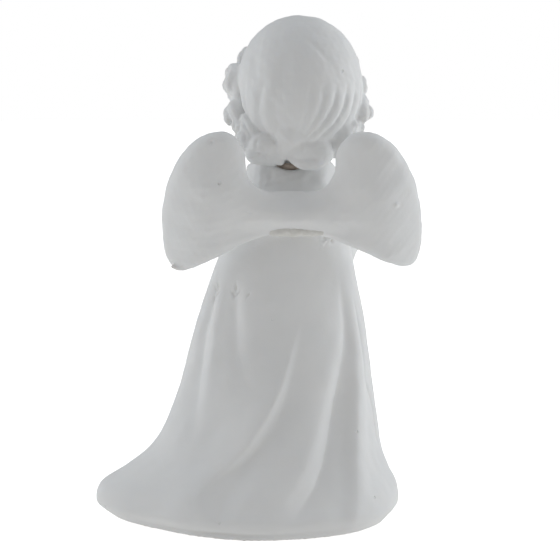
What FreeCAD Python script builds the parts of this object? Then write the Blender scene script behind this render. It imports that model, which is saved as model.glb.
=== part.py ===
# Praying angel figurine, 200 mm tall, in cold-cast resin.
#
# Frame: millimetres, +Z up, the angel faces -Y, its left hand is towards +X. The origin is on the surface
# that the figurine stands on, under the middle of the torso. The skirt's train sweeps out towards +X.
#
# Construction: a solid robe casting stands on a felt pad. The head, the pair of wings, the two sleeved arms
# and the pair of hands are castings of their own. The head, wings and arms are glued on over steel dowels,
# and the head and the wings also have a moulded key that drops into a socket of the robe.

import FreeCAD
import Part
import math
import os

from FreeCAD import Placement, Rotation, Vector

PARTS_FOLDER = "parts"

# Driving dimensions: alias, value in millimetres, note.
SIZES = [
    ("felt_thickness", 1.0, "felt sheet under the robe"),
    ("felt_inset", 3.0, "felt edge inside the hem"),
    ("robe_top", 139.5, "flat seat that the neck is glued to"),
    ("head_x", -4.0, "centre of the skull"),
    ("head_y", -1.0, "centre of the skull"),
    ("head_z", 171.5, "centre of the skull"),
    ("hair_radius_x", 25.0, "cap of hair, half its width"),
    ("hair_radius_y", 25.5, "cap of hair, half its depth"),
    ("hair_radius_z", 28.5, "cap of hair, half its height"),
    ("face_radius_x", 20.5, "face, half its width"),
    ("face_radius_y", 22.0, "face, half its depth"),
    ("face_radius_z", 25.0, "face, half its height"),
    ("face_forward", 6.0, "face in front of the skull's centre"),
    ("face_drop", 4.0, "face below the skull's centre"),
    ("curl_ring_x", 26.5, "curls round the face, from the skull's axis"),
    ("curl_ring_y", 20.0, "curls round the face, towards the front"),
    ("curl_major", 4.2, "one curl, a rolled lock"),
    ("curl_minor", 2.6, "one curl, a rolled lock"),
    ("nape_curl_major", 4.4, "big curls at the nape"),
    ("nape_curl_minor", 2.7, "big curls at the nape"),
    ("neck_x", -1.5, "axis of the neck and its dowel"),
    ("neck_radius", 8.0, "neck under the head"),
    ("neck_glue_height", 0.6, "ring of cured glue between neck and robe"),
    ("spigot_radius", 5.5, "moulded key under the neck"),
    ("spigot_depth", 10.0, "how far the key goes into the robe"),
    ("glue_gap", 0.15, "clearance round every glued key and dowel"),
    ("neck_dowel_radius", 1.5, "steel dowel in the neck"),
    ("neck_dowel_length", 46.0, "steel dowel in the neck"),
    ("neck_dowel_bottom", 112.0, "lower end of the neck dowel"),
    ("small_dowel_radius", 1.25, "dowels of the wings and arms"),
    ("wing_dowel_length", 14.0, "along Y"),
    ("wing_dowel_front", 12.0, "front end of the wing dowels"),
    ("wing_dowel_offset", 9.0, "each wing dowel from the middle"),
    ("wing_dowel_height", 124.0, "height of both wing dowels"),
    ("wing_key_width", 9.0, "moulded key on the saddle"),
    ("wing_key_height", 6.0, "moulded key on the saddle"),
    ("wing_key_front", 14.0, "front face of the key"),
    ("arm_dowel_length", 10.0, "along X"),
    ("arm_dowel_inner", 17.0, "inner end of each arm dowel"),
    ("arm_dowel_y", -3.0, "both arm dowels"),
    ("arm_dowel_height", 121.0, "both arm dowels"),
    ("wing_round", 1.0, "rounding of the wings' edges"),
    ("wing_middle_x", -0.7, "middle of the pair of wings"),
    ("wing_top", 155.5, "highest point of the wings"),
    ("wing_bottom", 103.0, "lowest point of the wings"),
    ("wing_half_span", 50.0, "furthest reach of each wing from the middle of the pair"),
    ("wing_widest_height", 119.0, "height of that furthest reach"),
    ("wing_crest_x", 28.0, "highest point, from the middle of the pair"),
    ("wing_tip_x", 41.0, "lowest point, from the middle of the pair"),
    ("wing_inner_x", 16.5, "inner edge, from the middle of the pair"),
    ("wing_neck_height", 144.0, "where the inner edge stands upright"),
    ("wing_notch_x", 5.5, "where the saddle's top edge starts to rise into the wing"),
    ("saddle_top", 132.0, "upper edge of the saddle between the wings"),
    ("saddle_bottom", 117.0, "lower edge of the saddle"),
    ("wrist_radius", 3.2, "wrist inside the cuff"),
    ("wrist_length", 11.5, "from the heel of the hand"),
    ("cuff_hollow_depth", 7.0, "hollow of the cuff that takes the wrist"),
    ("heel_reach", 5.5, "heel of the hand beyond the cuff's middle"),
    ("palm_offset", 1.7, "each palm from the middle"),
    ("palm_thickness", 2.3, "half the thickness of a palm"),
    ("palm_width", 4.4, "half the width of a palm"),
    ("palm_height", 5.4, "half the height of a palm"),
    ("finger_radius", 1.2, "each finger and thumb"),
    ("finger_length", 7.5, "longest finger, from its knuckle"),
    ("hand_lean", 12.0, "the hands lean forward, in degrees"),
    ("bead_half_length", 9.0, "bead of cured glue under the saddle"),
]

# The robe's profile at named stations. Each has a height and the four reaches of the section from the axis:
# towards +X (train), -X, +Y (back) and -Y (front). A smooth curve joins the stations.
ROBE_STATIONS = [
    ("sole", 1.0, 72, 40.5, 39.5, 37.5),
    ("hem", 7.0, 75, 43, 40, 39),
    ("flare", 20.0, 60, 38.5, 34.5, 34),
    ("knee", 45.0, 46, 33, 28, 28),
    ("hip", 80.0, 35.5, 28.5, 24, 24.5),
    ("waist", 100.0, 28.5, 25.5, 22, 22.5),
    ("chest", 118.0, 24, 23.5, 21, 20.5),
    ("shoulder", 133.0, 21, 21, 18.5, 17),
    ("collar", 137.5, 18.5, 19, 15.5, 14),
    ("rim", 139.5, 15, 15.5, 11.5, 11),
]
LOFT_HEIGHTS = (1, 5, 9, 14, 20, 30, 45, 65, 85, 100, 115, 126, 133, 137.5, 139.5)
# How much the train narrows towards its tip: (height, share).
TRAIN_TAPER = [(8, 0.55), (20, 0.42), (40, 0.18), (70, 0)]

# Fold lines of the skirt, in order round the body from +X through +Y (the back). Each has its angle in
# degrees and its rise in millimetres at the hem, the knee and the waist: a ridge rises above the profile,
# and a valley sinks.
FOLD_HEIGHTS = (8, 45, 85)
FOLD_LINES = [
    ("train ridge", (6, 8, 10), (0.6, 0.6, 0)),
    ("left crease", (34, 37, 20), (0, -0.2, -1.2)),
    ("left ridge", (50, 45, 34), (0.8, 0.4, 0.8)),
    ("inner left crease", (60, 60, 50), (0, 0, -1)),
    ("swept ridge", (68, 85, 102), (1.2, 1.6, 0)),
    ("swept valley", (78, 94, 108), (-0.8, -1.4, 0)),
    ("middle ridge", (92, 112, 124), (1.3, 1.5, 0.4)),
    ("deep valley", (108, 128, 138), (-1.2, -2.4, -1)),
    ("right ridge", (136, 144, 148), (1.2, 1.8, 0.6)),
    ("right crease", (166, 168, 156), (-1, -0.4, -0.8)),
    ("right corner", (179, 178, 178), (0.6, 0.5, 0.4)),
]
# The front's folds are spaced evenly, a valley and a ridge by turns.
FRONT_FOLDS = 9
FRONT_FOLD_START, FRONT_FOLD_STEP = (206, 201, 196), (18, 17.5, 17)
FRONT_FOLD_RISE = (1.3, 1.6, 0.8)
for index in range(FRONT_FOLDS):
    angles = tuple(start + index * step for start, step in zip(FRONT_FOLD_START, FRONT_FOLD_STEP))
    way = -1 if index % 2 == 0 else 1
    FOLD_LINES.append((f"front fold {index + 1}", angles, tuple(way * rise for rise in FRONT_FOLD_RISE)))
FOLD_FADE_FROM, FOLD_FADE_TO = 100.0, 118.0  # the folds die out between the waist and the chest
SECTION_POINTS = 60

# Plan of the pair of wings, as (x, y): the outer skin from +X to -X, then the inner skin back again.
WING_PLAN = [
    (52, 19), (44, 26), (31, 30.5), (14, 29.5), (0, 29), (-14, 29.5), (-31, 30.5), (-45, 26), (-54, 19),
    (-54, 15.5), (-44, 19), (-30, 22), (-14, 21.8), (0, 21.6), (14, 21.8), (30, 22), (43, 19), (52, 15.5),
]

# Curls on the ring round the face: degrees round the head from the angel's left, height over the centre.
RING_CURLS = [
    (25, -13), (8, -22), (4, 4), (-12, -10), (-24, 14), (-34, -23), (-48, 20), (-76, 22),
    (-104, 22), (-132, 20), (-146, -23), (-156, 14), (-168, -10), (176, 4), (172, -15), (158, -23),
]
# Big curls at the nape: offsets from the skull's centre.
NAPE_CURLS = [(14, 13, -22.5), (-3, 16.5, -24.4), (-13, 14, -22)]

# Sections of an arm's sleeve, from the shoulder through the elbow to the cuff, on the angel's left side:
# centre, the way the sleeve runs there, half its width across that way and half its height.
SLEEVE_SECTIONS = [
    ((13, -2, 131), (0.9, -0.1, -0.4), 6.5, 6.5),
    ((21, -4, 124.5), (0.5, -0.3, -0.8), 8, 9),
    ((21.5, -10, 113), (-0.1, -0.75, -0.65), 7.5, 10.5),
    ((16.5, -20, 108), (-0.72, -0.68, 0.15), 7, 12.5),
    ((8, -25.5, 111), (-0.92, -0.25, 0.3), 6.5, 12.5),
]
# Fingers of one hand: place across the palm in finger radii, share of the longest finger's length.
FINGERS = [(-3.0, 0.78), (-1.0, 0.96), (1.0, 1.0), (3.0, 0.86)]

doc = FreeCAD.newDocument("angel_figurine")
sheet = doc.addObject("Spreadsheet::Sheet", "Sizes")


def fill_sheet():
    for row, (alias, value, note) in enumerate(SIZES, start=1):
        sheet.set(f"A{row}", alias)
        sheet.set(f"B{row}", str(value))
        sheet.set(f"C{row}", note)
        sheet.setAlias(f"B{row}", alias)
    doc.recompute()


def size(alias):
    return float(sheet.get(alias))


# ---- helpers ----

def bind(obj, **expressions):
    """Binds properties to the sheet. In an expression, @name stands for the cell with that alias."""
    for prop, expression in expressions.items():
        obj.setExpression(prop.replace("__", "."), str(expression).replace("@", "Sizes."))
    return obj


def primitive(kind, name, at=(0, 0, 0), rotation=None, **expressions):
    """A Part primitive with its sizes and its place given as expressions on the sheet."""
    obj = doc.addObject("Part::" + kind, name)
    if rotation is not None:
        obj.Placement = Placement(Vector(), rotation)
    x, y, z = at
    return bind(obj, Placement__Base__x=x, Placement__Base__y=y, Placement__Base__z=z, **expressions)


def group(kind, name, shapes):
    result = doc.addObject("Part::Multi" + kind, name)
    result.Shapes = shapes
    return result


def cut(name, base, tools):
    result = doc.addObject("Part::Cut", name)
    result.Base = base
    result.Tool = tools[0] if len(tools) == 1 else group("Fuse", name + "_tools", tools)
    return result


def mirrored_in_x(name, source):
    mirror = doc.addObject("Part::Mirroring", name)
    mirror.Source = source
    mirror.Normal = Vector(1, 0, 0)
    return mirror


def turn_to(direction):
    """The rotation that takes +Z to a direction, and keeps the local Y axis as near upright as it can."""
    along = Vector(*direction).normalize()
    across = Vector(0, 0, 1).cross(along)
    across.normalize()
    return Rotation(across, along.cross(across), along, "ZXY")


def closed_curve(points):
    """A smooth closed curve through flat points."""
    curve = Part.BSplineCurve()
    curve.interpolate(Points=[Vector(x, y, 0) for x, y in points], PeriodicFlag=True)
    return curve


def new_body(name):
    return doc.addObject("PartDesign::Body", name)


def add_sketch(body, name, role, offset, geometry):
    """A sketch on one of the body's own origin planes, moved along that plane's normal by an expression."""
    sketch = body.newObject("Sketcher::SketchObject", name)
    plane = next(feature for feature in body.Origin.OriginFeatures if feature.Role == role)
    sketch.AttachmentSupport = (plane, [""])
    sketch.MapMode = "FlatFace"
    bind(sketch, AttachmentOffset__Base__z=offset)
    sketch.addGeometry(geometry, False)
    return sketch


def pad(body, name, sketch, length, midplane=False):
    feature = body.newObject("PartDesign::Pad", name)
    feature.Profile = sketch
    feature.Midplane = midplane
    bind(feature, Length=length)
    body.Tip = feature
    return body


def interpolate(points, at):
    """Straight-line interpolation in a list of (position, value), level outside it."""
    if at <= points[0][0]:
        return points[0][1]
    for (start, value), (end, next_value) in zip(points, points[1:]):
        if at <= end:
            return value + (next_value - value) * (at - start) / (end - start)
    return points[-1][1]


def smooth(points, at):
    """A curve through (position, value) points that never overshoots them, level outside them."""
    if not points[0][0] < at < points[-1][0]:
        return interpolate(points, at)
    slopes = [(v1 - v0) / (p1 - p0) for (p0, v0), (p1, v1) in zip(points, points[1:])]
    i = next(k for k, (position, _) in enumerate(points[1:]) if at <= position)

    def tangent(k):
        before, after = slopes[max(k - 1, 0)], slopes[min(k, len(slopes) - 1)]
        if before * after <= 0:
            return 0
        return 2 * before * after / (before + after)

    (p0, v0), (p1, v1) = points[i], points[i + 1]
    width = p1 - p0
    t = (at - p0) / width
    start = v0 * (1 + 2 * t) * (1 - t) ** 2 + tangent(i) * width * t * (1 - t) ** 2
    return start + v1 * t**2 * (3 - 2 * t) - tangent(i + 1) * width * t**2 * (1 - t)


# ---- robe ----

def fold_rise(angle, z):
    """How far the skirt stands out from its plain profile, in an S-curve from each fold line to the next."""
    lines = [tuple(smooth(list(zip(FOLD_HEIGHTS, values)), z) for values in (angles, rises))
             for _, angles, rises in FOLD_LINES]
    first_angle, first_rise = lines[0]
    lines.append((first_angle + 360, first_rise))
    at = (angle - first_angle) % 360 + first_angle
    low, high = next(pair for pair in zip(lines, lines[1:]) if at <= pair[1][0])
    share = (at - low[0]) / (high[0] - low[0])
    rise = low[1] + (high[1] - low[1]) * (1 - math.cos(math.pi * share)) / 2
    fade = (FOLD_FADE_TO - z) / (FOLD_FADE_TO - FOLD_FADE_FROM)
    return rise * min(1, max(0, fade))


def robe_outline(z, inset=0.0):
    """Points of the robe's section at height z. The train narrows to a rounded tip towards +X."""
    columns = ([(row[1], row[k]) for row in ROBE_STATIONS] for k in (2, 3, 4, 5))
    train, right, back, front = (smooth(column, z) - inset for column in columns)
    taper = interpolate(TRAIN_TAPER, z)
    middle, half = (train - right) / 2, (train + right) / 2
    points = []
    for i in range(SECTION_POINTS):
        degrees = 360 * i / SECTION_POINTS
        c, s = math.cos(math.radians(degrees)), math.sin(math.radians(degrees))
        rise = fold_rise(degrees, z)
        depth = (back if s > 0 else front) + rise
        narrow = 1 - taper * max(c, 0) ** 1.4
        points.append((middle + (half + rise) * c, depth * s * narrow))
    return points


def make_robe_form():
    """The robe before its sockets are cut."""
    body = new_body("robe_form")
    sketches = []
    for i, z in enumerate(LOFT_HEIGHTS):
        curve = closed_curve(robe_outline(z))
        sketches.append(add_sketch(body, f"robe_level_{i}", "XY_Plane", f"{z} mm", curve))
    bind(sketches[0], AttachmentOffset__Base__z="@felt_thickness * 1 mm")
    bind(sketches[-1], AttachmentOffset__Base__z="@robe_top * 1 mm")
    loft = body.newObject("PartDesign::AdditiveLoft", "robe_loft")
    loft.Profile = sketches[0]
    loft.Sections = sketches[1:]
    body.Tip = loft
    return body


def make_felt():
    body = new_body("felt_body")
    outline = robe_outline(size("felt_thickness"), size("felt_inset"))
    sketch = add_sketch(body, "felt_outline", "XY_Plane", "0 mm", closed_curve(outline))
    return pad(body, "felt_pad", sketch, "@felt_thickness * 1 mm")


# ---- dowels and their holes ----

def neck_dowel(name, extra="0"):
    return primitive("Cylinder", name, at=("@neck_x", "0", f"@neck_dowel_bottom - ({extra})"),
                     Radius=f"@neck_dowel_radius + {extra}", Height=f"@neck_dowel_length + 2 * ({extra})")


def wing_dowels(name, extra="0"):
    """Two dowels along Y, each side of the middle."""
    pins = []
    for side in (1, -1):
        place = (f"{side} * @wing_dowel_offset", f"@wing_dowel_front - ({extra})", "@wing_dowel_height")
        pins.append(primitive("Cylinder", f"{name}_{'left' if side > 0 else 'right'}", at=place,
                              rotation=Rotation(Vector(1, 0, 0), -90),
                              Radius=f"@small_dowel_radius + {extra}",
                              Height=f"@wing_dowel_length + 2 * ({extra})"))
    return pins


def arm_dowels(name, extra="0"):
    """Two dowels along X, one in each shoulder."""
    pins = []
    for side in (1, -1):
        place = (f"{side} * (@arm_dowel_inner - ({extra}))", "@arm_dowel_y", "@arm_dowel_height")
        pins.append(primitive("Cylinder", f"{name}_{'left' if side > 0 else 'right'}", at=place,
                              rotation=Rotation(Vector(0, 1, 0), 90 * side),
                              Radius=f"@small_dowel_radius + {extra}",
                              Height=f"@arm_dowel_length + 2 * ({extra})"))
    return pins


# ---- head ----

def curl(name, at, outward, major, minor):
    """A rolled lock of hair: a ring that faces outward."""
    return primitive("Torus", name, at=at, rotation=turn_to(outward), Radius1=major, Radius2=minor)


def make_head_form():
    centre = ("@head_x", "@head_y", "@head_z")
    hair = primitive("Ellipsoid", "hair_cap", at=centre, Radius1="@hair_radius_z", Radius2="@hair_radius_x",
                     Radius3="@hair_radius_y", Angle1="-90", Angle2="90")
    face = primitive("Ellipsoid", "face", at=("@head_x", "@head_y - @face_forward", "@head_z - @face_drop"),
                     Radius1="@face_radius_z", Radius2="@face_radius_x", Radius3="@face_radius_y",
                     Angle1="-90", Angle2="90")
    nose_place = ("@head_x", "@head_y - @face_forward - @face_radius_y - 0.2", "@head_z - @face_drop - 3.5")
    nose = primitive("Sphere", "nose", at=nose_place, Radius="2.4")
    chin = primitive("Sphere", "chin", Radius="6.5",
                     at=("@head_x", "@head_y - @face_forward - 11.5", "@head_z - @face_drop - 17.5"))
    neck = primitive("Cylinder", "neck", at=("@neck_x", "0", "@robe_top + @neck_glue_height"),
                     Radius="@neck_radius", Height="14")
    spigot = primitive("Cylinder", "spigot", at=("@neck_x", "0", "@robe_top - @spigot_depth"),
                       Radius="@spigot_radius", Height="@spigot_depth + 3")
    pieces = [hair, face, nose, chin, neck, spigot]
    for i, (degrees, rise) in enumerate(RING_CURLS):
        c, s = math.cos(math.radians(degrees)), math.sin(math.radians(degrees))
        share = math.sqrt(1 - (rise / (size("hair_radius_z") + 2)) ** 2)
        at = (f"@head_x + @curl_ring_x * {share * c:.3f}", f"@head_y + @curl_ring_y * {share * s:.3f}",
              f"@head_z + {rise}")
        pieces.append(curl(f"curl_{i}", at, (c, s, rise / 24), "@curl_major", "@curl_minor"))
    for i, (x, y, z) in enumerate(NAPE_CURLS):
        at = (f"@head_x + {x}", f"@head_y + {y}", f"@head_z + {z}")
        pieces.append(curl(f"nape_curl_{i}", at, (x, y, -4), "@nape_curl_major", "@nape_curl_minor"))
    return group("Fuse", "head_form", pieces)


# ---- wings ----

def elliptic_arc(centre_x, centre_z, reach_x, reach_z, start, end, steps):
    """Points along part of an ellipse between two angles in degrees, without the last point."""
    angles = (math.radians(start + (end - start) * i / steps) for i in range(steps))
    return [(centre_x + reach_x * math.cos(a), centre_z + reach_z * math.sin(a)) for a in angles]


def wing_outline():
    """The pair seen along Y: two mirrored wings of elliptical arcs with a wave below, joined by the saddle."""
    top, bottom, widest = size("wing_top"), size("wing_bottom"), size("wing_widest_height")
    crest, tip, span = size("wing_crest_x"), size("wing_tip_x"), size("wing_half_span")
    inner, neck, notch = size("wing_inner_x"), size("wing_neck_height"), size("wing_notch_x")
    saddle_top, saddle_bottom = size("saddle_top"), size("saddle_bottom")
    wing = elliptic_arc(notch, neck, inner - notch, neck - saddle_top, 270, 360, 3)
    wing += elliptic_arc(crest, neck, crest - inner, top - neck, 180, 90, 3)
    wing += elliptic_arc(crest, widest, span - crest, top - widest, 90, 0, 5)
    wing += elliptic_arc(tip, widest, span - tip, widest - bottom, 0, -90, 4)
    wave_steps = 6
    for i in range(wave_steps):
        share = i / wave_steps
        rise = (saddle_bottom - bottom) * (1 - math.cos(math.pi * share)) / 2
        wing.append((tip * (1 - share), bottom + rise))
    mirrored = [(-x, z) for x, z in reversed(wing)]
    pair = [(0, saddle_top), *wing, (0, saddle_bottom), *mirrored]
    return [(size("wing_middle_x") + x, z) for x, z in pair]


def make_wing_form():
    """The outline along Y, padded through, trimmed to the plan, with a key for the robe's socket."""
    elevation = new_body("wing_elevation")
    sketch = add_sketch(elevation, "wing_outline", "XZ_Plane", "0 mm", closed_curve(wing_outline()))
    pad(elevation, "wing_through", sketch, "90 mm", midplane=True)
    plan = new_body("wing_plan")
    sketch = add_sketch(plan, "wing_plan_curve", "XY_Plane", "90 mm", closed_curve(WING_PLAN))
    pad(plan, "wing_up", sketch, "80 mm")
    slab = group("Common", "wing_slab", [elevation, plan])
    key_place = ("-@wing_key_width / 2", "@wing_key_front", "@wing_dowel_height - @wing_key_height / 2")
    key = primitive("Box", "wing_key", at=key_place, Length="@wing_key_width", Width="10",
                    Height="@wing_key_height")
    return slab, key


# ---- arms and hands ----

CUFF_CENTRE, CUFF_WAY = (Vector(*value) for value in SLEEVE_SECTIONS[-1][:2])
CUFF_WAY.normalize()


def make_sleeve_form():
    """The left sleeve: a loft from the shoulder round the elbow to the wide cuff."""
    rings = []
    for i, (centre, way, across, upright) in enumerate(SLEEVE_SECTIONS):
        ring = doc.addObject("Part::Ellipse", f"sleeve_ring_{i}")
        quarter_turn = 90 if upright > across else 0
        ring.MajorRadius, ring.MinorRadius = max(across, upright), min(across, upright)
        ring.Placement = Placement(Vector(*centre), turn_to(way) * Rotation(Vector(0, 0, 1), quarter_turn))
        rings.append(ring)
    loft = doc.addObject("Part::Loft", "sleeve_form")
    loft.Sections = rings
    loft.Solid = True
    return loft


def rod_along_cuff(name, start, radius, length):
    """A cylinder that runs up the left cuff, from a distance in front of the cuff's middle."""
    rod = primitive_at(name, "Cylinder", Placement(CUFF_CENTRE + CUFF_WAY * start, turn_to(-CUFF_WAY)))
    return bind(rod, Radius=radius, Height=length)


def primitive_at(name, kind, placement):
    obj = doc.addObject("Part::" + kind, name)
    obj.Placement = placement
    return obj


def finger(name, base, way, length):
    """A tapered finger that runs from its base, as a slender ellipsoid."""
    shape = primitive_at(name, "Ellipsoid", Placement(base + way * (length / 2), turn_to(way)))
    shape.Radius1 = length / 2
    shape.Angle1, shape.Angle2 = -90, 90
    return bind(shape, Radius2="@finger_radius", Radius3="@finger_radius")


def make_hands():
    """Both hands, palm to palm, pointing up, with the two wrists that go into the cuffs."""
    lean = Rotation(Vector(1, 0, 0), size("hand_lean"))
    heel = CUFF_CENTRE + CUFF_WAY * size("heel_reach")
    heel.x = 0

    def at(x, y, z):
        return heel + lean.multVec(Vector(x, y, z))

    side, height, radius = size("palm_offset"), size("palm_height"), size("finger_radius")
    palm = primitive_at("palm", "Box", Placement(at(-0.3, -size("palm_width"), -1), lean))
    bind(palm, Length="@palm_offset + @palm_thickness", Width="2 * @palm_width", Height="1.55 * @palm_height")
    pieces = [palm]
    up = lean.multVec(Vector(-0.04, 0, 1)).normalize()
    for i, (across, share) in enumerate(FINGERS):
        knuckle = at(side + 0.1 * i, 0.93 * across * radius, 1.1 * height)
        pieces.append(finger(f"finger_{i}", knuckle, up, size("finger_length") * share + 2))
    thumb_way = lean.multVec(Vector(-0.05, 0.45, 0.9)).normalize()
    pieces.append(finger("thumb", at(side + 0.4, size("palm_width") - 1.3, 0.4 * height), thumb_way, 7))
    pieces.append(rod_along_cuff("wrist", size("heel_reach"), "@wrist_radius", "@wrist_length"))
    left = group("Fuse", "left_hand", pieces)
    return group("Fuse", "hands", [left, mirrored_in_x("right_hand", left)])


# ---- assembly ----

def build_nodes():
    robe_form = make_robe_form()
    felt = make_felt()
    gap = "@glue_gap"

    neck_hole = neck_dowel("neck_dowel_hole", gap)
    neck_socket = primitive("Cylinder", "neck_socket", Radius="@spigot_radius + @glue_gap",
                            Height="@spigot_depth + 5",
                            at=("@neck_x", "0", "@robe_top - @spigot_depth - @glue_gap"))
    key_socket = primitive("Box", "wing_key_socket", Length="@wing_key_width + 2 * @glue_gap", Width="20",
                           Height="@wing_key_height + 2 * @glue_gap",
                           at=("-@wing_key_width / 2 - @glue_gap", "@wing_key_front - @glue_gap",
                               "@wing_dowel_height - @wing_key_height / 2 - @glue_gap"))
    wing_holes = wing_dowels("wing_dowel_hole", gap)
    arm_holes = arm_dowels("arm_dowel_hole", gap)
    robe = cut("robe", robe_form, [neck_hole, neck_socket, key_socket] + wing_holes + arm_holes)
    head = cut("head", make_head_form(), [neck_dowel("head_dowel_hole", gap)])

    slab, key = make_wing_form()
    doc.recompute()
    rounded = doc.addObject("Part::Fillet", "wing_rounded")
    rounded.Base = slab
    rounded.Edges = [(i + 1, size("wing_round"), size("wing_round")) for i in range(len(slab.Shape.Edges))]
    wings = cut("wings", group("Fuse", "wing_with_key", [rounded, key]), wing_dowels("wing_bore", gap))

    sleeve = make_sleeve_form()
    hollow = rod_along_cuff("cuff_hollow", 2, "@wrist_radius + @glue_gap", "@cuff_hollow_depth + 2")
    left_arm = cut("left_arm", sleeve, [robe_form, hollow] + arm_dowels("left_arm_bore", gap))
    right_arm = cut("right_arm", mirrored_in_x("right_sleeve_form", sleeve),
                    [robe_form, mirrored_in_x("right_cuff_hollow", hollow)]
                    + arm_dowels("right_arm_bore", gap))
    hands = make_hands()

    ring_outside = primitive("Cylinder", "glue_ring_outside", at=("@neck_x", "0", "@robe_top"),
                             Radius="@neck_radius + 0.3", Height="@neck_glue_height")
    ring_inside = primitive("Cylinder", "glue_ring_inside", at=("@neck_x", "0", "@robe_top - 1"),
                            Radius="@spigot_radius + @glue_gap", Height="@neck_glue_height + 2")
    glue_ring = cut("glue_ring", ring_outside, [ring_inside])
    bead_form = primitive("Ellipsoid", "bead_form", at=("-4", "22.4", "115.9"), Radius1="1.3",
                          Radius2="@bead_half_length", Radius3="2.2", Angle1="-90", Angle2="90")
    bead = cut("bead", bead_form, [robe_form, rounded])

    return {
        "robe_casting": robe,
        "head_casting": head,
        "wing_casting": wings,
        "left_arm_casting": left_arm,
        "right_arm_casting": right_arm,
        "praying_hands_casting": hands,
        "neck_dowel": neck_dowel("dowel_in_neck"),
        "wing_dowels": group("Fuse", "dowels_in_wings", wing_dowels("wing_pin")),
        "arm_dowels": group("Fuse", "dowels_in_arms", arm_dowels("arm_pin")),
        "neck_glue_ring": glue_ring,
        "wing_glue_bead": bead,
        "felt_base_pad": felt,
    }


def check_document(nodes):
    """Stops if any object failed, or any node's shape is empty or invalid."""
    for obj in doc.Objects:
        if "Invalid" in obj.State or "Error" in obj.State:
            raise RuntimeError(f"{obj.Name} failed: {obj.State}")
    for node, obj in nodes.items():
        shape = obj.Shape
        if shape.isNull() or not shape.isValid() or not shape.Solids:
            raise RuntimeError(f"{node} has no valid solid")
        print(f"{node}: {len(shape.Solids)} solid(s), {shape.Volume:.0f} mm3")


def write_parts(nodes):
    os.makedirs(PARTS_FOLDER, exist_ok=True)
    for node, obj in nodes.items():
        obj.Label = node
        obj.Shape.exportStep(os.path.join(PARTS_FOLDER, node + ".step"))


fill_sheet()
all_nodes = build_nodes()
doc.recompute()
check_document(all_nodes)
write_parts(all_nodes)
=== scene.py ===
# The looks of a praying angel figurine in matte resin, around its CAD frame.
#
# All shaping is done in millimetres in the CAD's frame (+Z up, the angel faces -Y, its left is +X) and is
# turned to metres when a mesh is made. The robe and the felt are woven from rings round the body. The other
# castings are sculpted as clay: a grid of distances to the surface that shapes are joined to and lines are
# pressed into.

import math

import bpy
import numpy as np
import openvdb
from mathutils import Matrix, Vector


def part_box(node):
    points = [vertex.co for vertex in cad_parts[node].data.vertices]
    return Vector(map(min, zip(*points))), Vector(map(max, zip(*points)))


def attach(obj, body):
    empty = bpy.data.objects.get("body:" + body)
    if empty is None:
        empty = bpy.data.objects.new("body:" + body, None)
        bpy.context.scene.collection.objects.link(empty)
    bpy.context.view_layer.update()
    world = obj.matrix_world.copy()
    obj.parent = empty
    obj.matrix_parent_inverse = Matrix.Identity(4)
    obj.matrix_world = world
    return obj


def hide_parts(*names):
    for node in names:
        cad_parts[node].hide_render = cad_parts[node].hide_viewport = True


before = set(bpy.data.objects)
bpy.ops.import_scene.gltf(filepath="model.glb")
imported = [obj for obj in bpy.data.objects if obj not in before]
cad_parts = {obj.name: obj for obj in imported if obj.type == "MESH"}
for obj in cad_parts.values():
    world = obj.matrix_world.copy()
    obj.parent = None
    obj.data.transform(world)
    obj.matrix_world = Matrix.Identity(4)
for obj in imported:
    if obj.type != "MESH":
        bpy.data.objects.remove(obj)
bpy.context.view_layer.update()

MM = 0.001
rng = np.random.default_rng(7)


# ---- small geometry helpers ----

def node_box(name):
    """A CAD node's lowest and highest corners in millimetres."""
    low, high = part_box(name)
    return np.array(low) / MM, np.array(high) / MM


def unit(v):
    v = np.array(v, float)
    return v / np.linalg.norm(v)


def rotation(axis, degrees):
    """The matrix that turns a vector about an axis."""
    x, y, z = unit(axis)
    angle = math.radians(degrees)
    c, s = math.cos(angle), math.sin(angle)
    cross = np.array([[0, -z, y], [z, 0, -x], [-y, x, 0]])
    return c * np.eye(3) + s * cross + (1 - c) * np.outer((x, y, z), (x, y, z))


def smooth_curve(points, at):
    """A monotone cubic curve through (position, value) points."""
    x, y = (np.array(column, float) for column in zip(*points))
    if len(x) == 1:
        return np.full(np.shape(at), y[0])
    slope = np.diff(y) / np.diff(x)
    tangent = np.concatenate(([slope[0]], (slope[:-1] + slope[1:]) / 2, [slope[-1]]))
    turning = np.concatenate(([False], slope[:-1] * slope[1:] <= 0, [False]))
    tangent[turning] = 0
    for k, s in enumerate(slope):
        limit = 3 * abs(s)
        tangent[k] = np.clip(tangent[k], -limit, limit)
        tangent[k + 1] = np.clip(tangent[k + 1], -limit, limit)
    at = np.clip(at, x[0], x[-1])
    k = np.clip(np.searchsorted(x, at) - 1, 0, len(x) - 2)
    width = x[k + 1] - x[k]
    t = (at - x[k]) / width
    return ((2 * t**3 - 3 * t**2 + 1) * y[k] + (t**3 - 2 * t**2 + t) * width * tangent[k]
            + (3 * t**2 - 2 * t**3) * y[k + 1] + (t**3 - t**2) * width * tangent[k + 1])


def smooth_path(points, steps=8):
    """Points along a Catmull-Rom curve through the given ones."""
    p = np.array(points, float)
    p = np.vstack((2 * p[0] - p[1], p, 2 * p[-1] - p[-2]))
    t = np.linspace(0, 1, steps, endpoint=False)[:, None]
    out = []
    for a, b, c, d in zip(p, p[1:], p[2:], p[3:]):
        out.append(0.5 * (2 * b + (c - a) * t + (2 * a - 5 * b + 4 * c - d) * t**2
                          + (3 * b - a - 3 * c + d) * t**3))
    return np.vstack((*out, p[-2:-1]))


def ramp(x, low, high):
    """0 below low, 1 above high, and smooth between."""
    t = np.clip((x - low) / (high - low), 0, 1)
    return t * t * (3 - 2 * t)


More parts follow.
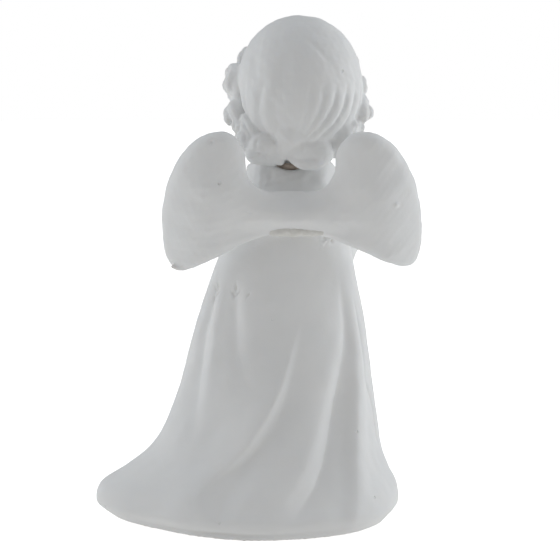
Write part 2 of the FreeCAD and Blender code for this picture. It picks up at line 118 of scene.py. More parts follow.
def wobble(x, y, z, scale, count=7, seed=1):
    """A gentle unevenness between about -1 and 1, with lumps of the given size."""
    draw = np.random.default_rng(seed)
    total = 0
    for _ in range(count):
        way = draw.normal(size=3)
        way *= 2 * math.pi / scale / np.linalg.norm(way) * draw.uniform(0.6, 1.4)
        total = total + np.sin(way[0] * x + way[1] * y + way[2] * z + draw.uniform(0, 2 * math.pi))
    return total / math.sqrt(count)


# ---- meshes ----

def new_piece(name, points, faces, materials, record_slot, replaced):
    """A smooth-shaded object from points in millimetres, riding on the only body."""
    mesh = bpy.data.meshes.new(name)
    points = np.asarray(points, float) * MM
    if isinstance(faces, list):
        corners = np.concatenate(faces)
        starts = np.concatenate(([0], np.cumsum([len(face) for face in faces])[:-1]))
    else:
        corners = faces.ravel()
        starts = np.arange(0, faces.size, 4)
    mesh.vertices.add(len(points))
    mesh.vertices.foreach_set("co", points.ravel().astype(np.float32))
    mesh.loops.add(len(corners))
    mesh.loops.foreach_set("vertex_index", corners.astype(np.int32))
    mesh.polygons.add(len(starts))
    mesh.polygons.foreach_set("loop_start", starts.astype(np.int32))
    mesh.update(calc_edges=True)
    mesh.validate()
    mesh.polygons.foreach_set("use_smooth", np.ones(len(mesh.polygons), bool))
    piece = bpy.data.objects.new(name, mesh)
    bpy.context.scene.collection.objects.link(piece)
    mesh.materials.append(materials)
    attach(piece, "root")
    if replaced:
        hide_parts(*replaced)
    return piece


# ---- clay ----

class Shape:
    """A distance function with the box that holds its surface."""

    def __init__(self, distance, low, high):
        self.distance = distance
        self.low = np.array(low, float)
        self.high = np.array(high, float)


def ellipsoid(centre, radii, turn=None, power=2.0):
    """An ellipsoid, or a squarer form where power is over 2. The rows of turn are its axes."""
    centre, radii = np.array(centre, float), np.array(radii, float)
    axes = np.eye(3) if turn is None else np.array(turn)

    def distance(x, y, z):
        dx, dy, dz = x - centre[0], y - centre[1], z - centre[2]
        near, steep = 0, 0
        for axis, radius in zip(axes, radii):
            along = (dx * axis[0] + dy * axis[1] + dz * axis[2]) / radius
            near = near + np.abs(along) ** power
            steep = steep + (along / radius) ** 2
        near = near ** (1 / power)
        return near * (near - 1) / np.maximum(np.sqrt(steep), 1e-6)

    reach = np.sqrt(((axes * radii[:, None]) ** 2).sum(0))
    return Shape(distance, centre - reach, centre + reach)


def tube(points, radii):
    """A rod of changing thickness along a line of points."""
    points = np.array(points, float)
    radii = np.full(len(points), float(radii)) if np.isscalar(radii) else np.array(radii, float)

    def distance(x, y, z):
        best = None
        for p, q, r0, r1 in zip(points, points[1:], radii, radii[1:]):
            d = q - p
            length = max(d @ d, 1e-9)
            t = np.clip(((x - p[0]) * d[0] + (y - p[1]) * d[1] + (z - p[2]) * d[2]) / length, 0, 1)
            gap = np.sqrt((x - p[0] - t * d[0]) ** 2 + (y - p[1] - t * d[1]) ** 2
                          + (z - p[2] - t * d[2]) ** 2) - (r0 + (r1 - r0) * t)
            best = gap if best is None else np.minimum(best, gap)
        return best

    reach = radii.max()
    return Shape(distance, points.min(0) - reach, points.max(0) + reach)


class Clay:
    """Distances to a surface on a grid, in millimetres, negative inside."""

    FAR = 4.0

    def __init__(self, low, high, voxel):
        self.voxel = voxel
        self.low = np.array(low, float)
        counts = np.ceil((np.array(high) - self.low) / voxel).astype(int) + 1
        self.axes = [self.low[i] + voxel * np.arange(counts[i]) for i in range(3)]
        self.field = np.full(counts, self.FAR, np.float32)

    def block(self, low, high):
        """The part of the grid between two corners, with its coordinates."""
        cut = tuple(slice(*np.searchsorted(axis, (a, b))) for axis, a, b in zip(self.axes, low, high))
        x, y, z = (axis[c] for axis, c in zip(self.axes, cut))
        return cut, (x[:, None, None], y[None, :, None], z[None, None, :])

    def join(self, shape, blend=0.5):
        margin = blend + 3
        cut, grid = self.block(shape.low - margin, shape.high + margin)
        a, b = self.field[cut], shape.distance(*grid)
        h = np.clip(0.5 + 0.5 * (a - b) / blend, 0, 1)
        self.field[cut] = a + (b - a) * h - blend * h * (1 - h)

    def stroke(self, points, width, depth):
        """Presses a groove along a line, or raises a ridge where depth is negative."""
        line = tube(points, 0)
        margin = 2.6 * np.max(width)
        cut, grid = self.block(line.low - margin, line.high + margin)
        self.field[cut] += depth * np.exp(-(line.distance(*grid) / width) ** 2)

    def dent(self, centre, radii, depth, turn=None):
        """Presses a soft hollow, or raises a soft swelling where depth is negative."""
        shape = ellipsoid(centre, radii, turn)
        reach = (shape.high - shape.low) * 0.8
        cut, (x, y, z) = self.block(shape.low - reach, shape.high + reach)
        axes = np.eye(3) if turn is None else np.array(turn)
        far = 0
        for axis, radius in zip(axes, radii):
            far = far + (((x - centre[0]) * axis[0] + (y - centre[1]) * axis[1]
                          + (z - centre[2]) * axis[2]) / radius) ** 2
        self.field[cut] += depth * np.exp(-far)

    def unevenness(self, amount, scale, seed):
        x, y, z = (self.axes[0][:, None, None], self.axes[1][None, :, None], self.axes[2][None, None, :])
        self.field += (amount * wobble(x, y, z, scale, seed=seed)).astype(np.float32)

    def surface(self):
        """The points and the four-sided faces of the surface."""
        grid = openvdb.FloatGrid(background=float(self.FAR))
        grid.copyFromArray(self.field)
        points, faces = grid.convertToQuads(isovalue=0.0)
        points = points * self.voxel + self.low
        return relaxed(points, faces, 2), faces[:, ::-1]


def relaxed(points, faces, rounds):
    """Evens out the small steps that the grid leaves."""
    edges = np.concatenate([faces[:, [k, (k + 1) % 4]] for k in range(4)])
    count = np.bincount(edges[:, 0], minlength=len(points)).astype(float)
    for _ in range(rounds):
        total = np.stack([np.bincount(edges[:, 0], points[edges[:, 1], k], len(points)) for k in range(3)], 1)
        points = 0.5 * points + 0.5 * total / np.maximum(count, 1)[:, None]
    return points


# ---- materials ----

def nodes_of(name):
    material = bpy.data.materials.new(name)
    material.use_nodes = True
    tree = material.node_tree
    return material, tree, tree.nodes["Principled BSDF"]


def place_in_metres(tree):
    return tree.nodes.new("ShaderNodeTexCoord").outputs["Object"]


def noise(tree, scale, detail=3.0, rough=0.5):
    node = tree.nodes.new("ShaderNodeTexNoise")
    node.inputs["Scale"].default_value = scale
    node.inputs["Detail"].default_value = detail
    node.inputs["Roughness"].default_value = rough
    tree.links.new(place_in_metres(tree), node.inputs["Vector"])
    return node.outputs["Fac"]


def mapped(tree, value, stops):
    """A value turned to a colour by a ramp of (position, colour)."""
    node = tree.nodes.new("ShaderNodeValToRGB")
    elements = node.color_ramp.elements
    while len(elements) < len(stops):
        elements.new(0.5)
    for element, (at, colour) in zip(elements, stops):
        element.position = at
        element.color = (*colour, 1) if len(colour) == 3 else (colour[0],) * 3 + (1,)
    tree.links.new(value, node.inputs["Fac"])
    return node.outputs["Color"]


def mixed(tree, share, a, b):
    node = tree.nodes.new("ShaderNodeMix")
    node.data_type = "RGBA"
    for socket, value in (("Factor_Float", share), ("A_Color", a), ("B_Color", b)):
        target = next(s for s in node.inputs if s.identifier == socket)
        if isinstance(value, (tuple, float, int)):
            target.default_value = value
        else:
            tree.links.new(value, target)
    return next(s for s in node.outputs if s.identifier == "Result_Color")


def bump(tree, layers):
    """Bumps on top of each other: (height, depth in metres)."""
    normal = None
    for height, depth in layers:
        node = tree.nodes.new("ShaderNodeBump")
        node.inputs["Strength"].default_value = 1.0
        node.inputs["Distance"].default_value = depth
        tree.links.new(height, node.inputs["Height"])
        if normal is not None:
            tree.links.new(normal, node.inputs["Normal"])
        normal = node.outputs["Normal"]
    return normal


def pinholes(tree, scale, size, share):
    """1 on the plain surface and 0 in small round pits, which only some cells have."""
    cells = tree.nodes.new("ShaderNodeTexVoronoi")
    cells.inputs["Scale"].default_value = scale
    tree.links.new(place_in_metres(tree), cells.inputs["Vector"])
    pit = mapped(tree, cells.outputs["Distance"], [(size * 0.4, (0.0,)), (size, (1.0,))])
    chosen = tree.nodes.new("ShaderNodeSeparateColor")
    tree.links.new(cells.outputs["Color"], chosen.inputs["Color"])
    rare = mapped(tree, chosen.outputs["Red"], [(share, (0.0,)), (share + 0.01, (1.0,))])
    return mixed(tree, rare, pit, (1.0, 1.0, 1.0, 1.0))


def resin_material():
    """Unpainted cast resin: chalky off-white, faint mottling, pinholes, and painted shade that tints the
    hollows darker and browner.
    """
    material, tree, bsdf = nodes_of("cast_resin")
    tint = mapped(tree, noise(tree, 38, 4), [(0.3, (0.800, 0.806, 0.806)), (0.7, (0.850, 0.852, 0.848))])
    geometry = tree.nodes.new("ShaderNodeNewGeometry")
    # Painted shade: where the surface is hollow (low pointiness) the colour is mixed towards a darker
    # brownish grey.
    hollow = mapped(tree, geometry.outputs["Pointiness"], [(0.40, (1.0,)), (0.485, (0.0,))])
    tint = mixed(tree, hollow, tint, (0.70, 0.655, 0.60, 1.0))
    tree.links.new(tint, bsdf.inputs["Base Color"])
    rough = mapped(tree, noise(tree, 90, 3), [(0.3, (0.56,)), (0.7, (0.68,))])
    tree.links.new(rough, bsdf.inputs["Roughness"])
    bsdf.inputs["Specular IOR Level"].default_value = 0.35
    bsdf.inputs["Subsurface Weight"].default_value = 0.06
    bsdf.inputs["Subsurface Radius"].default_value = (0.002, 0.0016, 0.0012)
    bsdf.inputs["Subsurface Scale"].default_value = 1.0
    layers = [(noise(tree, 120, 2), 0.00018), (noise(tree, 900, 3, 0.6), 0.00004),
              (pinholes(tree, 150, 0.10, 0.07), 0.00035)]
    tree.links.new(bump(tree, layers), bsdf.inputs["Normal"])
    return material


def glue_material(name, dark, light):
    """Cured adhesive, a little shiny."""
    material, tree, bsdf = nodes_of(name)
    tint = mapped(tree, noise(tree, 300, 3), [(0.3, dark), (0.7, light)])
    tree.links.new(tint, bsdf.inputs["Base Color"])
    bsdf.inputs["Roughness"].default_value = 0.42
    tree.links.new(bump(tree, [(noise(tree, 700, 3), 0.00012)]), bsdf.inputs["Normal"])
    return material


def steel_material():
    """Drawn steel rod with fine scratches."""
    material, tree, bsdf = nodes_of("dowel_steel")
    tint = mapped(tree, noise(tree, 400, 2), [(0.3, (0.50, 0.50, 0.51)), (0.7, (0.62, 0.62, 0.63))])
    tree.links.new(tint, bsdf.inputs["Base Color"])
    bsdf.inputs["Metallic"].default_value = 1.0
    rough = mapped(tree, noise(tree, 1500, 2), [(0.3, (0.28,)), (0.7, (0.42,))])
    tree.links.new(rough, bsdf.inputs["Roughness"])
    tree.links.new(bump(tree, [(noise(tree, 2500, 2), 0.00001)]), bsdf.inputs["Normal"])
    return material


def felt_material():
    """Thin white felt: matted fibres."""
    material, tree, bsdf = nodes_of("white_felt")
    tint = mapped(tree, noise(tree, 600, 4, 0.7), [(0.3, (0.66, 0.65, 0.62)), (0.7, (0.80, 0.79, 0.76))])
    tree.links.new(tint, bsdf.inputs["Base Color"])
    bsdf.inputs["Roughness"].default_value = 0.95
    bsdf.inputs["Sheen Weight"].default_value = 0.3
    bsdf.inputs["Specular IOR Level"].default_value = 0.1
    tree.links.new(bump(tree, [(noise(tree, 1800, 5, 0.75), 0.0002)]), bsdf.inputs["Normal"])
    return material


resin, steel, felt = resin_material(), steel_material(), felt_material()
glue = glue_material("old_glue", (0.56, 0.45, 0.37), (0.72, 0.62, 0.54))
pale_glue = glue_material("pale_glue", (0.74, 0.73, 0.69), (0.80, 0.79, 0.76))


# ---- robe ----

# The robe's own reach in each direction, from its CAD solid. The cloth stands a little proud of the train.
ROBE_LOW, ROBE_HIGH = node_box("robe_casting")
TRAIN_REACH, RIGHT_REACH = ROBE_HIGH[0] + 3.3, -ROBE_LOW[0] + 0.4
BACK_REACH, FRONT_REACH = ROBE_HIGH[1] + 0.8, -ROBE_LOW[1] + 0.6
# Stations up the robe: name, place along the profile, height, and the share of each reach (towards +X, -X,
# the back and the front). The last ones roll over the collar's rim and down inside it to the neck.
ROBE_STATIONS = [
    ("sole", 1, 1.0, 0.91, 0.89, 0.98, 0.95),
    ("hem", 7, 7.0, 1.0, 1.0, 1.0, 1.0),
    ("toe", 13, 13.0, 0.98, 0.98, 0.94, 0.95),
    ("ankle", 20, 20.0, 0.85, 0.90, 0.87, 0.88),
    ("shin", 28, 28.0, 0.72, 0.83, 0.79, 0.82),
    ("knee", 45, 45.0, 0.605, 0.77, 0.69, 0.73),
    ("hip", 80, 80.0, 0.478, 0.685, 0.58, 0.63),
    ("waist", 100, 100.0, 0.39, 0.59, 0.53, 0.57),
    ("chest", 115, 115.0, 0.32, 0.53, 0.505, 0.525),
    ("shoulder", 125, 125.0, 0.29, 0.505, 0.49, 0.475),
    ("neckline", 131, 131.0, 0.26, 0.46, 0.45, 0.41),
    ("collar foot", 135, 134.6, 0.237, 0.43, 0.40, 0.355),
    ("collar", 139, 138.0, 0.226, 0.42, 0.37, 0.32),
    ("rim outside", 142, 140.8, 0.214, 0.40, 0.34, 0.295),
    ("rim", 144, 141.4, 0.193, 0.365, 0.305, 0.275),
    ("rim inside", 146, 140.4, 0.17, 0.325, 0.268, 0.255),
    ("neck side", 148.5, 139.3, 0.137, 0.27, 0.225, 0.23),
    ("neck", 151, 139.0, 0.076, 0.16, 0.145, 0.15),
]
# How much the train narrows towards its tip.
TRAIN_TAPER = [(0, 0.40), (8, 0.40), (20, 0.32), (40, 0.16), (70, 0)]
# How square the section is: 2 is an ellipse, more is fuller at the corners.
SECTION_POWER = [(0, 2.35), (14, 2.3), (45, 2.05), (80, 2.0)]

# Folds: path as (height, degrees round the body from +X through the back), rise in millimetres by height
# (ridges above 0, valleys below), and the reach of each flank in millimetres, towards +X and towards -X.
FOLDS = {
    "swept_ridge": ([(8, 75), (20, 68), (36, 79), (55, 91), (82, 101)],
                    [(4, 0.3), (16, 1.5), (30, 2.1), (50, 1.9), (66, 1.0), (84, 0)],
                    [(10, 12), (60, 9)], [(10, 4.5), (40, 2.5), (75, 1.6)]),
    "swept_valley": ([(8, 82), (24, 81), (45, 94), (72, 103)], [(6, -0.3), (28, -1), (50, -1), (76, 0)],
                     [(10, 4), (60, 3)], [(10, 6), (60, 5)]),
    "soft_light": ([(8, 86), (50, 101)], [(8, 0.2), (28, 0.6), (52, 0)], [(10, 4)], [(10, 4)]),
    "middle_ridge": ([(10, 100), (30, 109), (75, 127)], [(5, 0.2), (20, 1.1), (45, 1.3), (84, 0)],
                     [(10, 9), (60, 7)], [(10, 5), (60, 5)]),
    "deep_crease": ([(8, 108), (22, 118), (45, 127), (80, 139)],
                    [(6, 0), (24, -2.8), (48, -3.2), (72, -1.3), (100, 0)],
                    [(10, 3)], [(10, 7.5), (60, 5.5), (90, 4)]),
    "side_ridge": ([(8, 134), (35, 141), (60, 146), (90, 148)],
                   [(4, 0.6), (14, 1.8), (30, 3.0), (48, 3.0), (66, 1.9), (84, 0.9), (106, 0)],
                   [(10, 4.6), (60, 3.8)], [(10, 8), (60, 6)]),
    "upper_valley": ([(76, 139), (96, 142)], [(66, 0), (80, -0.5), (106, 0)], [(80, 2)], [(80, 3)]),
    "side_crease": ([(30, 170), (44, 171), (58, 158), (88, 153)], [(26, 0), (44, -0.7), (80, -0.6), (92, 0)],
                    [(30, 0.9)], [(30, 1.0)]),
    "corner_ridge": ([(5, 176), (40, 182)], [(4, 0.3), (30, 0.7), (100, 0)], [(10, 6)], [(10, 6)]),
    "left_valley": ([(34, 45), (60, 34), (93, 28)], [(34, 0), (60, -1.1), (80, -1.3), (97, 0)],
                    [(40, 5), (90, 2.8)], [(40, 3.2), (90, 2)]),
    "left_ridge": ([(40, 47), (66, 45), (91, 38)], [(36, 0), (62, 0.7), (80, 0.8), (98, 0)],
                   [(40, 3.4), (90, 2.4)], [(40, 4.4), (90, 2.4)]),
    "inner_valley": ([(56, 73), (74, 61), (94, 52)], [(54, 0), (72, -0.7), (86, -0.9), (98, 0)],
                     [(60, 4.4), (90, 2.6)], [(60, 3), (90, 2.2)]),
    "inner_ridge": ([(58, 81), (92, 63)], [(58, 0), (80, 0.4), (98, 0)], [(60, 3)], [(60, 4.4)]),
    "train_ridge": ([(8, 18), (25, 12), (60, 8)], [(4, 0.2), (25, 0.6), (60, 0)], [(10, 6)], [(10, 8)]),
}
# Folds with a sharp line at the bottom of the valley, instead of a soft one.
CREASES = ("deep_crease", "side_crease")
# The front's folds fall from the sleeves, a valley and a ridge by turns.
FRONT_FOLD_COUNT = 11
FRONT_FOLD_HEM, FRONT_FOLD_WAIST = (205, 13.6), (197, 13.5)  # first angle and spacing, in degrees
FRONT_FOLD_DEPTH = 2.0
# Small pinches where the folds start under the left wing: (height, degrees, width, length, lean).
PINCHES = [
    (95.0, 29.0, 0.6, 2.0, 0.5), (92.0, 31.5, 0.5, 1.6, -0.8), (93.5, 26.5, 0.5, 1.5, 0.9),
    (89.5, 28.0, 0.5, 1.8, 0.2), (95.0, 51.0, 0.55, 1.7, 0.2), (93.0, 54.0, 0.5, 1.5, -0.9),
    (92.6, 49.5, 0.45, 1.0, 0.8), (92.8, 64.0, 0.5, 0.9, -0.5),
]

ROBE_COLUMNS_BACK, ROBE_COLUMNS_FRONT = 262, 138
ROBE_RINGS = 236


def robe_angles():
    """Columns round the body in radians, closer together at the back."""
    back = np.linspace(-12, 192, ROBE_COLUMNS_BACK, endpoint=False)
    front = np.linspace(192, 348, ROBE_COLUMNS_FRONT, endpoint=False)
    return np.radians(np.concatenate((back, front)))


def from_fold(angle, path, place, arc):
    """How far each point is from a fold's line, round the body, in millimetres."""
    line = np.radians(smooth_curve(path, place))
    gap = (angle - line + math.pi) % (2 * math.pi) - math.pi
    return gap * arc


def robe_surface(angle, place):
    """The robe's points (x, y, z) and outward ways (nx, ny) at angles and places along the profile."""
    height, train, other, back, front = (
        smooth_curve([(station[1], station[k]) for station in ROBE_STATIONS], place) for k in range(2, 7))
    train, other = train * TRAIN_REACH, other * RIGHT_REACH
    back, front = back * BACK_REACH, front * FRONT_REACH
    middle, half = (train - other) / 2, (train + other) / 2
    c, s = np.cos(angle), np.sin(angle)
    depth = np.where(s > 0, back, front)
    taper = smooth_curve(TRAIN_TAPER, place)
    narrow = 1 - taper * np.maximum(c, 0) ** 1.4
    arc = np.sqrt((half * s) ** 2 + (depth * narrow * c) ** 2)
    power = smooth_curve(SECTION_POWER, place)
    bulge = np.sign(s) * np.maximum(1 - np.abs(c) ** power, 0) ** (1 / power)

    rise = 0
    for name, (path, rises, left, right) in FOLDS.items():
        gap = from_fold(angle, path, place, arc)
        reach = np.where(gap < 0, smooth_curve(left, place), smooth_curve(right, place))
        low, high = rises[0][0], rises[-1][0]
        live = ramp(place, low - 6, low) * (1 - ramp(place, high, high + 6))
        spread = (gap / reach) ** 2
        form = np.exp(0.25 - np.sqrt(spread + 0.0625)) if name in CREASES else np.exp(-spread)
        rise = rise + smooth_curve(rises, place) * live * form
    fade = (1 - ramp(place, 86, 112)) * (0.45 + 0.55 * ramp(place, 0, 20))
    for k in range(FRONT_FOLD_COUNT):
        at_hem, at_waist = (first + k * step for first, step in (FRONT_FOLD_HEM, FRONT_FOLD_WAIST))
        depth_mm = FRONT_FOLD_DEPTH * (-1) ** (k + 1) * (1 + 0.2 * math.sin(2.3 * k))
        gap = from_fold(angle, [(0, at_hem), (100, at_waist)], place, arc)
        rise = rise + depth_mm * fade * np.exp(-(gap / (3.4 - 0.012 * place)) ** 2)
    for at_height, degrees, wide, long, lean in PINCHES:
        gap = (angle - math.radians(degrees)) * arc + lean * (place - at_height)
        rise = rise - 0.55 * np.exp(-(gap / wide) ** 2 - ((place - at_height) / long) ** 2)

    # The wave of the hem's lip, and the hem's slightly rolled edge.
    rise = rise + 0.35 * np.exp(-((place - 2.6) / 1.5) ** 2) * np.sin(3 * angle + 0.8)
    # A thin flash stands out along the lower edge, mostly under the train.
    flash = (0.35 + 0.65 * ramp(c, -0.6, 0.4)) * (1 - ramp(c, 0.65, 0.95))
    lip = 0.6 * np.exp(-((place - 1.7) / 0.9) ** 2) - 0.35 * np.exp(-((place - 3.5) / 0.8) ** 2)
    rise = rise + flash * lip
    # Uneven modelling by hand.
    x, y = middle + half * c, depth * bulge * narrow
    rise = rise + 0.28 * wobble(x, y, height, 26, seed=3) * (1 - ramp(place, 128, 136))
    rise = rise + 0.07 * wobble(x, y, height, 7, seed=4)

    # The collar stands up at the sides, sinks at the back of the neck and is gathered into soft lumps.
    collar = ramp(place, 132, 137) * (1 - ramp(place, 146, 150))
    degrees = np.degrees(angle) % 360
    sides = np.exp(-((degrees - 38) / 30) ** 2) + np.exp(-((degrees - 142) / 30) ** 2)
    middle_dip = np.exp(-((degrees - 88) / 26) ** 2)
    front_dip = np.exp(-((degrees - 270) / 42) ** 2)
    height = height + collar * (3.4 * sides - 1.0 * middle_dip - 2.0 * front_dip) * ramp(place, 136, 142)
    rise = rise + collar * (0.9 * np.exp(-((degrees - 128) / 14) ** 2 - ((place - 137) / 3) ** 2)
                            - 0.7 * np.exp(-((degrees - 92) / 30) ** 2)
                            + 0.4 * np.exp(-((degrees - 52) / 9) ** 2)
                            - 0.3 * np.exp(-((degrees - 64) / 5 + (place - 138) / 5) ** 2)
                            + 0.15 * np.sin(np.radians(degrees) * 11 + 1.2 * np.sin(place * 0.7)))
    rise = rise + 0.15 * collar * wobble(x, y, height, 4.0, seed=9)
    # Rough remains of glue on the back, just under the wings' right half.
    patch = np.exp(-((place - 113.2 + 0.42 * (x + 12)) / 2.2) ** 2 - ((x + 17) / 5) ** 2) * (s > 0)
    rise = rise + patch * (0.5 + 0.55 * wobble(x, y, height, 2.4, seed=8))

    normal_x, normal_y = c / np.maximum(half, 1), s / np.maximum(depth * narrow, 1)
    size = np.sqrt(normal_x**2 + normal_y**2)
    keep = 1 - ramp(place, 148, 150)
    return (x + keep * rise * normal_x / size, y + keep * rise * normal_y / size, height)


def rings_to_mesh(x, y, z, close_bottom, close_top):
    """Points and four-sided faces of rings (ring, column), with the ends closed by fans."""
    rings, columns = x.shape
    points = np.stack((x, y, z), -1).reshape(-1, 3)
    r, c = np.meshgrid(np.arange(rings - 1), np.arange(columns), indexing="ij")
    a, b = r * columns + c, r * columns + (c + 1) % columns
    faces = np.stack((a, b, b + columns, a + columns), -1).reshape(-1, 4)
    faces = [f for f in faces]
    for closed, ring, flip in ((close_bottom, 0, True), (close_top, rings - 1, False)):
        if closed:
            index = ring * columns + np.arange(columns)
            faces.append(index[::-1] if flip else index)
    return points, faces


def make_robe():
    angle = robe_angles()[None, :]
    low, high = ROBE_STATIONS[0][1], ROBE_STATIONS[-1][1]
    place = np.linspace(low, high, ROBE_RINGS)[:, None]
    x, y, z = robe_surface(angle, place)
    # The lower edge is rounded inwards to the flat underside.
    inner_x, inner_y = x[:1] * 0.985, y[:1] * 0.985
    x, y = np.vstack((inner_x, x)), np.vstack((inner_y, y))
    z = np.vstack((np.full_like(z[:1] + 0 * angle, 1.0), z + 0 * angle))
    z[1] = 1.35
    return rings_to_mesh(x, y, z, True, True)


new_piece("robe", *make_robe(), resin, "resin", ["robe_casting"])


def make_felt():
    """The felt under the robe: a thin pad with a slightly fuzzy, uneven cut edge."""
    angle = np.radians(np.linspace(0, 360, 420, endpoint=False))[None, :]
    x, y, _ = robe_surface(angle, np.full((1, 1), 1.0))
    centre_x = x.mean()
    edge = 0.25 * rng.normal(size=angle.shape)
    shrink = 1 - 2.9 / np.hypot(x - centre_x, y)
    x, y = centre_x + (x - centre_x) * shrink, y * shrink
    reach = np.hypot(x - centre_x, y)
    layers = []
    for share, height in ((0.30, 0.02), (0.7, 0.0), (0.985, 0.03), (1.0, 0.3), (1.0, 0.62), (0.99, 0.95)):
        scale = share + (edge / reach if share > 0.9 else 0)
        fuzz = 0.05 * rng.normal(size=angle.shape) if 0.1 < height < 0.9 else 0
        layers.append((centre_x + (x - centre_x) * (scale + fuzz / reach), y * (scale + fuzz / reach),
                       np.full_like(x, height)))
    x, y, z = (np.vstack([layer[k] for layer in layers]) for k in range(3))
    return rings_to_mesh(x, y, z, True, True)


new_piece("felt_pad", *make_felt(), felt, "felt", ["felt_base_pad"])


# ---- wings ----

# The pair's outline, as (x, height), round from the top of the saddle towards +X.
WING_LOW, WING_HIGH = node_box("wing_casting")
WING_MIDDLE, WING_SPAN = (WING_LOW[0] + WING_HIGH[0]) / 2, (WING_HIGH[0] - WING_LOW[0]) / 2 + 0.8
WING_TALL = WING_HIGH[2] - WING_LOW[2]
# The wings' own proportions. Lengths across are shares of one wing's span, and heights are shares of the
# height above the lowest point.
CREST_ACROSS, NOTCH_ACROSS = 0.53, 0.15
NECK_UP, SADDLE_TOP_UP, SADDLE_BOTTOM_UP = 0.80, 0.575, 0.27
# The two are cast a little differently: how high each is widest, how far out its inner edge and its lowest
# point are, and how much lower that point hangs in millimetres.
WING_CASTS = {1: (0.30, 0.355, 0.84, -1.0), -1: (0.23, 0.325, 0.87, 0.2)}


def elliptic_arc(centre_x, centre_z, reach_x, reach_z, start, end, power=2.0, steps=14):
    """Points along part of a superellipse between two angles in degrees, without the last point."""
    points = []
    for degrees in np.linspace(start, end, steps, endpoint=False):
        c, s = math.cos(math.radians(degrees)), math.sin(math.radians(degrees))
        x, z = (math.copysign(abs(v) ** (2 / power), v) for v in (c, s))
        points.append((centre_x + reach_x * x, centre_z + reach_z * z))
    return points


def wing_outline(side):
    """One wing seen along Y, from the saddle's top edge round its tip to the saddle's lower edge."""
    widest_up, inner_across, tip_across, droop = WING_CASTS[side]
    crest, inner, notch = (share * WING_SPAN for share in (CREST_ACROSS, inner_across, NOTCH_ACROSS))
    tip = tip_across * WING_SPAN
    bottom, top = WING_LOW[2] + droop, WING_HIGH[2] + 0.7
    neck, saddle_top, saddle_bottom, widest = (
        WING_LOW[2] + up * WING_TALL for up in (NECK_UP, SADDLE_TOP_UP, SADDLE_BOTTOM_UP, widest_up))
    wing = elliptic_arc(notch, neck, inner - notch, neck - saddle_top, 270, 360)
    wing += elliptic_arc(crest, neck, crest - inner, top - neck, 180, 90)
    wing += elliptic_arc(crest, widest, WING_SPAN - crest, top - widest, 90, 0)
    wing += elliptic_arc(tip, widest, WING_SPAN - tip, widest - bottom, 0, -90, power=2.8)
    for share in np.linspace(0, 1, 20, endpoint=False):
        wave = (1 - math.cos(math.pi * share ** 0.77)) / 2
        wing.append((tip * (1 - share), bottom + (saddle_bottom - bottom) * wave))
    return [(WING_MIDDLE + side * x, z) for x, z in wing]


def outline_distance(x, z, outline):
    """Distance to a closed outline, negative inside it."""
    best, inside = np.full(np.broadcast(x, z).shape, 1e9), np.zeros(np.broadcast(x, z).shape, bool)
    for (x0, z0), (x1, z1) in zip(outline, np.roll(outline, -1, 0)):
        dx, dz = x1 - x0, z1 - z0
        t = np.clip(((x - x0) * dx + (z - z0) * dz) / (dx * dx + dz * dz), 0, 1)
        best = np.minimum(best, (x - x0 - t * dx) ** 2 + (z - z0 - t * dz) ** 2)
        if z0 != z1:
            crosses = (z0 > z) != (z1 > z)
            inside ^= crosses & (x < dx * (z - z0) / dz + x0)
    return np.where(inside, -1, 1) * np.sqrt(best)


def make_wings():
    clay = Clay((-55, 6, 99), (54, 36, 160), 0.46)
    x, z = clay.axes[0][:, None], clay.axes[2][None, :]
    gap = outline_distance(x, z, wing_outline(1) + wing_outline(-1)[::-1])
    across = np.abs(x - WING_MIDDLE)
    # The outer face: full near the top of each wing, falling away to the outer and the lower edges.
    outer = 31.2 - 1.7 * ramp(-across, -27, -15) - 12.5 * np.clip((across - 30) / 21, 0, 1) ** 1.9
    saddle = np.exp(-(across / 14) ** 2)
    outer = outer - 10.5 * np.clip((135 - z) / 32, 0, 1) ** 1.35 * (1 - 0.88 * saddle)
    outer = outer - 2.2 * saddle - 6.5 * saddle * ramp(z, 124.5, 134.5)
    outer = outer - 3.6 * np.exp(-(across / 20) ** 2) * ramp(-z, -123, -116.5)
    inner = 21.2 - 8.0 * np.clip((across - 24) / 27, 0, 1) ** 1.8 - 4.5 * np.clip((130 - z) / 28, 0, 1)
    inner = inner + 2.2 * saddle * ramp(-z, -124, -117)
    inner = np.minimum(inner, outer - 4.2)
    inner = inner + 0 * z
    middle, half = (outer + inner) / 2, (outer - inner) / 2
    middle, half, gap = (layer[:, None, :] for layer in (middle, half, gap))
    y = clay.axes[1][None, :, None]
    inner_edge = np.exp(-((np.abs(x - WING_MIDDLE) - 17) / 6) ** 2) * ramp(z, 128, 136)
    rim = np.minimum(4.4 + 2.6 * inner_edge[:, None, :], half)
    u, v = np.maximum(gap + rim, 0) / rim, np.abs(y - middle) / half
    power = 2.3
    clay.field = (((u**power + v**power) ** (1 / power) - 1) * rim).astype(np.float32)
    clay.field = np.clip(clay.field, -clay.FAR, clay.FAR)
    # Dents, pinholes and specks of the casting.
    for px, pz, size, depth in ((29.6, 152.3, 0.75, 0.9), (15.4, 125.4, 0.7, 0.7), (13.2, 124.6, 0.45, 0.4)):
        clay.dent((px, 29, pz), (size, 4, size), depth)
    for px, pz, size, depth in ((33.6, 131.2, 1.2, -0.35), (31.8, 118, 1.4, -0.3), (22.5, 131, 0.9, -0.25),
                                (-40.4, 128.2, 0.8, -0.6), (-28, 152.5, 1.1, 0.3), (-20.4, 125.2, 1.2, -0.3),
                                (-23.4, 120, 1.3, 0.25), (-38, 113, 1.0, -0.3)):
        clay.dent((px, 27, pz), (size, 5, size), depth)
    # A ragged flash where the mould closed, at the lower corner of the left wing.
    flash_x, flash_z = WING_MIDDLE + 0.88 * WING_SPAN, WING_LOW[2] - 0.3
    clay.join(tube([(flash_x + dx, 14.6, flash_z + dz) for dx, dz in ((2, 0.6), (0, 0), (-2.4, -0.1))],
                   [0.5, 0.9, 0.5]), 1.6)
    clay.unevenness(0.16, 11, 21)
    clay.unevenness(0.05, 3.0, 22)
    return clay.surface()


